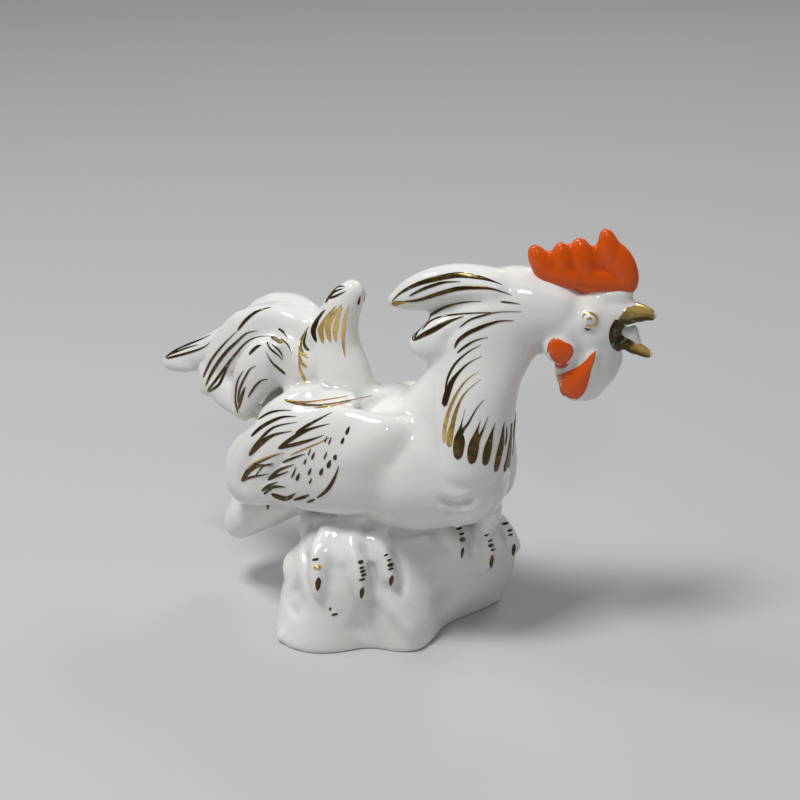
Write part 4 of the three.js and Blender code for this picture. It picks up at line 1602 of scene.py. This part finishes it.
    def fix(self, name: str, pieces: list[bpy.types.Object]) -> bpy.types.Object:
        """Joins ribbons or patches, presses them on the skin and gives them thickness.

        Args:
            name: the joined piece's name.
            pieces: the ribbons or patches.

        Returns:
            The joined piece.
        """
        whole = join_pieces(pieces, name)
        self.face_outwards(whole)
        apply_modifier(
            whole,
            "SHRINKWRAP",
            target=self.skin,
            wrap_method="NEAREST_SURFACEPOINT",
            wrap_mode="ABOVE_SURFACE",
            offset=self.lift,
        )
        apply_modifier(whole, "SOLIDIFY", thickness=self.thickness, offset=-1.0)
        return whole

    def face_outwards(self, whole: bpy.types.Object) -> None:
        """Turns every face that looks into the skin.

        Args:
            whole: the joined ribbons or patches.
        """
        pick_only(whole)
        for face in whole.data.polygons:
            out = self.surface.find_nearest(face.center)[1]
            face.select = face.normal.dot(out) < 0
        bpy.ops.object.mode_set(mode="EDIT")
        bpy.ops.mesh.flip_normals()
        bpy.ops.object.mode_set(mode="OBJECT")

    def put_away(self) -> None:
        """Removes the blank touch."""
        bpy.data.objects.remove(self.blank)


@dataclass(frozen=True)
class TouchGroup:
    """Touches that belong together, such as those of the wing."""

    name: str
    other: OtherSide
    touches: tuple[Touch, ...]
    load: float = 1.0


@dataclass(frozen=True)
class Kind:
    """A kind of short mark, given by how its ends lie from its middle.

    Each end has two shares of the mark's length, across and down, and then two shifts in pixels.
    """

    start: tuple[float, float, float, float]
    end: tuple[float, float, float, float]
    swell: float
    tail: float = 1.0


LEVEL = Kind(start=(-0.5, 0, 0, 0.6), end=(0.5, 0, 0, -0.8), swell=0.5, tail=0.5)
UPRIGHT = Kind(start=(0, 0.5, -0.8, 0), end=(0, -0.5, 0.8, 0), swell=0.55)
SLANTING = Kind(start=(-0.2, 0.45, 0, 0), end=(0.2, -0.5, 0, 0), swell=0.4)


def short_marks(kind: Kind, *marks: tuple[float, float, float, float]) -> tuple[Touch, ...]:
    """Turns short marks into touches.

    Args:
        kind: how the marks lie.
        marks: middle pixel, length and width of each.

    Returns:
        The touches.
    """
    touches = []
    for x, y, length, width in marks:
        ends = [
            (x + along * length + right, y + upright * length + down)
            for along, upright, right, down in (kind.start, kind.end)
        ]
        touches.append(Touch(width, (ends[0], (x, y), ends[1]), kind.swell, kind.tail))
    return tuple(touches)


# The glint given with a touch is a painted glint; a low value leaves its gold mostly a painted dark
# reflection
HACKLE = TouchGroup(
    "hackle_gold",
    OtherSide.SAME_PLACE,
    (
        Touch(5.6, ((392, 301), (402, 292), (419, 283.5), (439, 278),
                    (457, 275), (471, 276), (486, 279), (502, 284.5)), 0.55),
        Touch(3.2, ((409, 296), (423, 289), (437, 284), (447, 282), (461, 281.5)), 0.4),
        Touch(4.4, ((392, 303), (406, 301.5), (419, 300), (433, 295.5), (444, 292),
                    (458, 288.5), (476, 287.5), (493, 289), (512, 295)), 0.55),
        Touch(5.0, ((392, 304), (398, 303), (407, 301.5)), 0.35, painted_glint=0.5),
        Touch(3.2, ((414, 341), (419, 327), (427, 318.5), (439, 310),
                    (451, 305), (465, 302), (481, 301)), 0.35),
        Touch(1.9, ((422, 330), (430, 321.5), (440, 317), (451, 315),
                    (464, 313.5), (486, 312.5), (507, 311.5), (521, 311.5)), 0.3),
        Touch(5.2, ((414, 340.5), (422, 335.5), (433, 330), (444, 324), (453, 320), (464, 316)), 0.4),
        Touch(1.9, ((422, 323), (415.5, 330), (413, 338), (414, 341)), 0.5),
        Touch(1.9, ((459.5, 327.5), (469.5, 320), (481, 316), (495, 312.5), (507, 311.5)), 0.4),
        Touch(1.7, ((500, 301.5), (510, 302.5), (520, 304)), 0.35),
        Touch(4.2, ((454.5, 348.5), (458, 341), (466.5, 334), (476.5, 329),
                    (489, 324), (500, 321), (513.5, 320.5)), 0.42),
        Touch(2.3, ((457, 353), (465, 346.5), (475, 340.5), (488, 337)), 0.35),
        Touch(2.2, ((445, 393), (448, 377.5), (455.5, 363.5), (468, 352), (481, 344.5)), 0.4),
        Touch(6.4, ((444, 406.5), (446.5, 396), (451, 384),
                    (457, 374.5), (468, 363.5), (481.5, 356)), 0.2, 1.3, painted_glint=0.1),
        Touch(3.8, ((444, 443), (445, 426.5), (450, 408.5),
                    (457, 393), (466.5, 380), (478.5, 371)), 0.22, painted_glint=0.75),
        Touch(6.2, ((449, 447), (450, 436), (452, 426.5),
                    (457, 408.5), (465, 393), (480.5, 379)), 0.2, 1.3, painted_glint=0.6),
    ),
)
BREAST = TouchGroup(
    "breast_gold",
    OtherSide.ACROSS_BODY,
    (
        Touch(11.5, ((457.5, 459.5), (458.5, 448), (459.5, 439),
                    (460, 432), (461.5, 424), (465, 409)), 0.3, 2.2),
        Touch(3.0, ((460.5, 440), (463, 430), (468, 423.5), (476.5, 408.5), (484, 399.5)), 0.2, 1.2),
        Touch(11.0, ((471.5, 464), (472.5, 453), (474.5, 442), (477, 431), (480.5, 419.5)), 0.34, 1.9),
        Touch(3.0, ((477, 446), (479.5, 437), (483.5, 428), (488, 416)), 0.25, 1.2),
        Touch(8.0, ((485, 465.5), (486.5, 455), (489, 443.5), (492, 432), (495.5, 422)), 0.32, 1.7),
        Touch(6.2, ((495.5, 472), (498, 460), (501.5, 443.5), (503, 429.5), (504.5, 421)), 0.32, 1.6),
        Touch(4.4, ((504.5, 472), (507.5, 460), (510.5, 439), (512, 422.5)), 0.34, 1.4),
        Touch(1.6, ((505, 446), (506.5, 436), (506.5, 426)), 0.4),
    ),
)
WING = TouchGroup(
    "wing_gold",
    OtherSide.LEFT_WING,
    (
        Touch(2.2, ((258, 419.5), (269, 413), (280, 410.5), (292, 410.5)), 0.35),
        Touch(3.6, ((251, 436.5), (263, 426), (281, 417.5), (296.5, 416.5)), 0.35),
        Touch(3.4, ((249, 455.5), (258, 442.5), (273.5, 427.5), (297, 422)), 0.3),
        Touch(4.6, ((249, 455.5), (261, 443.5), (273.5, 435), (292, 431)), 0.3),
        Touch(3.4, ((241.5, 481), (250.5, 467), (264.5, 459.5), (279.5, 454)), 0.3),
        Touch(3.8, ((241.5, 481), (255, 467), (273.5, 465)), 0.38),
        Touch(2.6, ((241.5, 481), (252, 477), (268, 474)), 0.4),
        Touch(3.2, ((295.5, 433.5), (310, 424), (332.5, 412)), 0.32),
        Touch(4.2, ((278, 448.5), (295, 436.5), (310, 429), (330, 423.5)), 0.32),
        Touch(3.6, ((278, 448.5), (298, 443.5), (311.5, 439.5), (324, 435)), 0.3),
        Touch(2.6, ((282.5, 462.5), (292, 458.5), (305.5, 453.5)), 0.38),
        Touch(3.4, ((268, 480), (279.5, 470), (295, 464)), 0.32),
        Touch(2.6, ((268, 480), (278, 475.5), (289, 471)), 0.38),
        Touch(4.6, ((268, 510), (267, 500), (262, 491)), 0.55),
        Touch(3.2, ((262, 491), (269, 485.5), (278, 481.5)), 0.35),
        Touch(3.4, ((264, 494), (273.5, 487), (286, 487)), 0.38),
        Touch(5.4, ((271, 494), (285.5, 498.5), (296, 493)), 0.42),
        Touch(3.6, ((293.5, 500), (304, 497), (309.5, 494.5)), 0.42),
        Touch(2.8, ((307, 502.5), (315.5, 499)), 0.45),
        Touch(3.8, ((317, 498), (327, 490), (334.5, 478), (339, 465.5)), 0.42),
        *short_marks(
            SLANTING,
            (347.8, 430.5, 9, 3.2), (342.8, 440.5, 7, 3), (330, 441, 7.5, 1.6),
            (326, 439.5, 6.5, 1.4), (309.5, 452, 7.5, 1.5), (313.2, 455.8, 8, 2.4),
            (305.2, 461.5, 6, 2.2), (325.5, 455.5, 8, 2), (335.2, 457.2, 5.6, 4),
            (329.2, 464, 8.5, 4.2), (321.5, 471.5, 8, 3.6), (309.8, 471.5, 7.5, 2.8),
            (294, 472.5, 12, 1.8), (298, 476.8, 8, 3.4), (310.5, 481, 6, 2),
        ),
        Touch(1.5, ((290, 455), (304, 449), (318, 443), (330, 437)), 0.4, painted_glint=0.6),
        Touch(1.5, ((246, 470), (257, 461.5), (270, 456), (284, 452)), 0.4, painted_glint=0.7),
        Touch(1.4, ((255, 476), (264, 466), (274, 463)), 0.4),
    ),
)
PLUME = TouchGroup(
    "plume_gold",
    OtherSide.SAME_PLACE,
    (
        Touch(2.8, ((325.5, 303), (331, 294), (338, 287), (345.5, 286.5)), 0.38),
        Touch(2.4, ((327.5, 299.5), (334.5, 292), (343.5, 288.5)), 0.38),
        Touch(2.2, ((329.5, 298.5), (338, 295), (346, 291)), 0.35),
        Touch(3.2, ((316, 322.5), (320.5, 315.5), (325.5, 309.5)), 0.4),
        Touch(5.2, ((316.5, 342), (313.5, 331), (317, 321), (322, 312)), 0.42, painted_glint=0.05),
        Touch(5.8, ((323.5, 343), (321.5, 336), (321, 328), (327.5, 317), (336.5, 305.5)), 0.45, painted_glint=0.95),
        Touch(5.6, ((330.5, 342), (328.5, 335), (328, 326), (333, 315.5), (342, 304)), 0.45, painted_glint=0.95),
        Touch(5.2, ((335.5, 341.5), (335, 334), (335.5, 328), (338, 317), (342.5, 305.5)), 0.45, painted_glint=0.9),
        Touch(3.4, ((345, 357.5), (343.5, 347.5), (343, 335), (344.5, 319), (349, 304.5)), 0.55, painted_glint=0.85),
        Touch(3.6, ((308, 357.5), (302.5, 353), (300, 345.5), (302.5, 337), (309, 326)), 0.42, painted_glint=0.6),
        Touch(3.2, ((309.5, 350), (306, 348), (304, 342), (307, 331)), 0.4),
        Touch(3.4, ((307, 367), (301.5, 362.5), (299.5, 354.5), (300, 344)), 0.4, painted_glint=0.8),
        Touch(3.2, ((307.5, 383), (303.5, 377), (300, 368.5), (298.5, 356.5)), 0.36, painted_glint=0.8),
        Touch(2.2, ((358, 305), (360, 296)), 0.42),
    ),
)
TAIL = TouchGroup(
    "tail_gold",
    OtherSide.SAME_PLACE,
    (
        Touch(3.2, ((165.5, 357.5), (176, 350), (193.5, 342.5), (204, 338), (211, 334.5)), 0.25),
        Touch(3.2, ((166, 358.5), (182, 354.5), (197, 350), (206, 346), (210, 342)), 0.25),
        Touch(2.2, ((169, 355), (186.5, 348), (199, 344.5)), 0.32),
        Touch(4.2, ((237.5, 330.5), (247, 319), (258, 311), (272, 307)), 0.34),
        Touch(3.4, ((203, 378), (211.5, 360), (224, 344), (237.5, 330.5)), 0.32),
        Touch(4.6, ((205.5, 386), (213, 370.5), (224, 354.5), (236.5, 342), (247, 333), (258, 330.5)), 0.32),
        Touch(3.8, ((207, 391), (215, 381.5), (225.5, 367), (236.5, 353),
                    (247, 342), (258, 337), (270.5, 336)), 0.3),
        Touch(3.6, ((208, 392), (218.5, 385), (224, 374.5), (231, 360), (240, 347.5)), 0.28),
        Touch(3.4, ((238, 413), (235.5, 399.5), (237.5, 381.5), (243.5, 370.5)), 0.36),
        Touch(3.2, ((238, 403), (240, 388.5), (249, 370.5), (256, 365.5)), 0.32),
        Touch(4.6, ((238.5, 409), (242, 395.5), (245.5, 386)), 0.42),
        Touch(4.2, ((249, 354.5), (256, 347.5), (261.5, 345)), 0.42),
        Touch(3.2, ((248, 397.5), (254.5, 387), (261.5, 380.5), (268.5, 379)), 0.36),
        Touch(7.0, ((271, 336.5), (277, 340), (283, 342)), 0.5, painted_glint=0.35),
        Touch(3.2, ((278.5, 328.5), (283, 331.5), (287.5, 338.5)), 0.35),
        Touch(2.8, ((267, 341.5), (270, 348), (277.5, 354.5), (283, 360)), 0.35),
        Touch(2.4, ((272, 344), (279.5, 351), (283, 358)), 0.4),
        Touch(3.2, ((285.5, 374), (279.5, 369), (272, 362), (265.5, 351)), 0.32),
        Touch(2.0, ((281, 338.5), (288, 345.5), (292, 354.5)), 0.35),
    ),
    load=0.74,
)
BACK = TouchGroup(
    "back_gold",
    OtherSide.NONE,
    (
        Touch(2.8, ((284, 399.5), (300, 404), (320, 405.3), (345, 401.3), (372, 395.5)), 0.2, painted_glint=0.35),
        Touch(1.5, ((288, 401), (308, 402), (328, 399.5), (348, 396)), 0.3, painted_glint=0.6),
        Touch(1.3, ((314, 408), (332, 406), (352, 401)), 0.4, painted_glint=0.7),
    ),
)
TOES = TouchGroup(
    "toe_gold",
    OtherSide.NONE,
    (
        *short_marks(
            LEVEL,
            (315.5, 559.5, 6.5, 2.6), (360.5, 562, 5.4, 3.8), (361.5, 567.8, 4.6, 2.4),
            (362.5, 571.4, 5.8, 2.6), (363.5, 575, 5.4, 2.8), (362, 579.6, 6, 2.2),
            (386, 555, 4, 2), (389, 560, 4.4, 2.2), (390.6, 564.8, 6.6, 4),
            (390.6, 568.9, 5.6, 2.2), (458.8, 528.6, 5.4, 3), (461.4, 534, 5, 2.6),
            (462.2, 539.8, 5.4, 5), (486.5, 535.2, 4.6, 2.4), (490, 540.8, 4.4, 2.6),
            (491, 545.4, 6.2, 3.4), (493, 549.6, 4.8, 2.4), (504.8, 523.6, 6.6, 2.8),
            (509.8, 530.4, 5, 2.4), (510.4, 534.8, 4.6, 2), (334.6, 614.4, 6.6, 2.2),
        ),
        Touch(4.8, ((313.8, 568), (317.3, 567.4), (321, 567)), 0.5, 0.5, painted_glint=1.0),
        *short_marks(
            UPRIGHT,
            (318, 584, 13.5, 6.4), (362, 592.8, 11.5, 5), (391.4, 580.5, 10.5, 5),
            (462.4, 553, 10.5, 3.4), (491.6, 561.5, 14, 4.2), (513.6, 549.8, 12.5, 4),
            (330.2, 608.8, 3.4, 2.2),
        ),
    ),
)
EYES = TouchGroup(
    "eye_gold",
    OtherSide.ACROSS_HEAD,
    (
        Touch(2.4, ((583, 319), (583.5, 315), (588, 313), (593.5, 314.5),
                    (597, 319), (596, 324), (591, 326), (585.5, 324)), 0.5, 0.4, 0.7),
        Touch(2.2, ((586.5, 319.5), (589.5, 318.2), (592, 319.2)), 0.5, 0.5, painted_glint=0.6),
        Touch(1.6, ((584.5, 328), (588, 329.6), (591.5, 329)), 0.4),
    ),
)
TOUCH_GROUPS = (HACKLE, BREAST, WING, BACK, PLUME, TAIL, TOES, EYES)

EAR_LOBE_OUTLINE: tuple[Pixel, ...] = (
    (544.5, 352), (544.5, 346.5), (546.5, 340.5), (551, 336), (557, 335.5), (565.5, 340), (572.5, 343),
    (576, 348.5), (575.5, 355.5), (572, 361), (567, 366), (561, 368.5), (553.5, 366), (547.5, 359),
)
GAPE_OUTLINE: tuple[Pixel, ...] = (
    (615, 319.5), (612.3, 323.5), (609.8, 329), (608.8, 335), (609.5, 341), (611.5, 346.5),
    (615, 350.5), (619, 351.5), (622, 349), (622.5, 343), (621, 337), (622, 331), (625, 326.5),
    (622, 322.5), (618.5, 320),
)
WATTLE_OUTLINE: tuple[Pixel, ...] = (
    (595.5, 351), (594, 361), (591, 370), (588.5, 381), (585.5, 390), (579.5, 397.5), (572, 401),
    (565.5, 397.5), (559.5, 390), (556, 381), (556.5, 376), (562.5, 373.5), (570.5, 370.5),
    (579.5, 365.5), (587, 359), (592.5, 352.5),
)


# Studio


@dataclass(frozen=True)
class Lamp:
    """A soft square lamp: where it hangs from the point that it lights, its width and its power in watts."""

    name: str
    offset: tuple[float, float, float]
    size: float
    power: float

    def build(self, aim: Vector) -> None:
        """Hangs the lamp.

        Args:
            aim: the point that it lights.
        """
        data = bpy.data.lights.new(self.name, "AREA")
        data.shape = "SQUARE"
        data.size = self.size
        data.energy = self.power
        lamp = bpy.data.objects.new(self.name, data)
        lamp.location = aim + Vector(self.offset)
        lamp.rotation_euler = (aim - lamp.location).to_track_quat("-Z", "Y").to_euler()
        bpy.context.scene.collection.objects.link(lamp)


@dataclass
class Studio:
    """A pale floor, a pale world and soft lamps."""

    floor_width: float = 12.0
    floor_colour: Colour = (0.56, 0.56, 0.555)
    floor_roughness: float = 0.9
    world_colour: Colour = (0.93, 0.95, 1.0)
    world_strength: float = 0.18
    backdrop_strength: float = 0.6
    lamps: tuple[Lamp, ...] = (
        Lamp("key_lamp", (-0.14, -0.4, 1.0), 0.26, 8.0),
        Lamp("left_lamp", (-0.8, -0.25, 0.75), 0.26, 1.4),
        Lamp("front_lamp", (0.5, -0.85, 0.75), 0.12, 1.2),
        Lamp("back_lamp", (0.1, 0.75, 0.8), 0.4, 2.0),
    )

    def build(self, aim: Vector) -> None:
        """Sets up the studio round the object.

        Args:
            aim: the point that the lamps light.
        """
        self.floor()
        self.world()
        for lamp in self.lamps:
            lamp.build(aim)
        bpy.context.scene.view_settings.view_transform = "Standard"

    def floor(self) -> None:
        """Lays the floor."""
        bpy.ops.mesh.primitive_plane_add(size=self.floor_width)
        floor = bpy.context.object
        floor.name = "floor"
        bench = Bench("floor_paper")
        bench.set("Base Color", self.floor_colour)
        bench.set("Roughness", self.floor_roughness)
        floor.data.materials.append(bench.material)
        floor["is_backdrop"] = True

    def world(self) -> None:
        """Makes the world soft for light, and pale where the camera sees it."""
        world = bpy.data.worlds.new("studio")
        bpy.context.scene.world = world
        world.use_nodes = True
        tree = world.node_tree
        light = tree.nodes["Background"]
        light.inputs["Color"].default_value = (*self.world_colour, 1.0)
        light.inputs["Strength"].default_value = self.world_strength
        seen = tree.nodes.new("ShaderNodeBackground")
        seen.inputs["Color"].default_value = (*self.world_colour, 1.0)
        seen.inputs["Strength"].default_value = self.backdrop_strength
        path = tree.nodes.new("ShaderNodeLightPath")
        mix = tree.nodes.new("ShaderNodeMixShader")
        tree.links.new(path.outputs["Is Camera Ray"], mix.inputs[0])
        tree.links.new(light.outputs[0], mix.inputs[1])
        tree.links.new(seen.outputs[0], mix.inputs[2])
        tree.links.new(mix.outputs[0], tree.nodes["World Output"].inputs["Surface"])


def write_sizes(name: str, sizes: dict[str, list[list[float]]]) -> None:
    """Args:
        name: what the box is kept under.
        sizes: the boxes so far.
    """
    sizes[name] = [list(corner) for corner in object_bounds()]


def lay_gold(gilder: Gilder, gold: bpy.types.Material) -> None:
    """Lays all touches of gold, group by group, and the gold at the corners of the mouth, which is painted
    dark.

    Args:
        gilder: who lays them.
        gold: the gold.
    """
    for group in TOUCH_GROUPS:
        ribbons = [ribbon for touch in group.touches for ribbon in gilder.lay(touch, group.other, group.load)]
        finish_piece(gilder.fix(group.name, ribbons), "gold_lustre", gold)
    # the gape's gold is all painted dark reflection and painted shade
    finish_piece(gilder.fix("gape_gold", gilder.patch(GAPE_OUTLINE)), "gold_lustre", gold)


def lay_enamel(gilder: Gilder, enamel: bpy.types.Material) -> None:
    """Lays the enamel of the ear lobes and the wattles, which stands for their castings.

    Args:
        gilder: who lays it.
        enamel: the enamel.
    """
    for name, outline in (("ear_lobe", EAR_LOBE_OUTLINE), ("wattle", WATTLE_OUTLINE)):
        for casting, patch in zip(pair(name), gilder.patch(outline)):
            piece = gilder.fix(f"{casting}_enamel", [patch])
            write_attribute(piece, "crease", hollowness(piece, gilder.crease_rounds) / MM)
            finish_piece(piece, "orange_enamel", enamel, casting)


def main() -> None:
    """Builds the figurine and its studio."""
    sizes: dict[str, list[list[float]]] = {}
    write_sizes("cad", sizes)
    view = PhotoView()
    view.build()
    Studio().build(view.aim)
    glaze, enamel, gold = (finish.material() for finish in (Glaze(), Enamel(), GoldLustre()))
    potter = Potter(view, Middles())
    skin = GlazedSkin().build(potter, glaze)
    comb = Comb("enamelled_comb", ("comb",), "orange_enamel", COMB, fillet=0.9 * MM, smoothing=14)
    comb.build(potter, enamel)
    beak = Beak(
        "gilded_beak",
        ("upper_beak", "lower_beak"),
        "gold_lustre",
        BEAK,
        kept=("upper_beak",),
        grain=0.3 * MM,
        fillet=0.4 * MM,
    )
    beak.build(potter, gold)
    tongue = SoftPart("tongue_tip", ("tongue",), "porcelain", TONGUE, grain=0.3 * MM, fillet=0.5 * MM)
    tongue.build(potter, glaze)
    gilder = Gilder(skin, view, potter.middles)
    lay_gold(gilder, gold)
    lay_enamel(gilder, enamel)
    gilder.put_away()
    write_sizes("visual", sizes)


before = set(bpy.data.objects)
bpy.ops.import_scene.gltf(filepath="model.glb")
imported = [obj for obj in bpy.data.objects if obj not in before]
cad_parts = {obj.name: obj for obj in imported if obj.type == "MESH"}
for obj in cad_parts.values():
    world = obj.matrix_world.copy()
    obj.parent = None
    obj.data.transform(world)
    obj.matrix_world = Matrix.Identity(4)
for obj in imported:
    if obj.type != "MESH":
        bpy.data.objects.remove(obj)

if __name__ == "__main__":
    logging.basicConfig(level=logging.INFO, format="%(message)s")
    main()
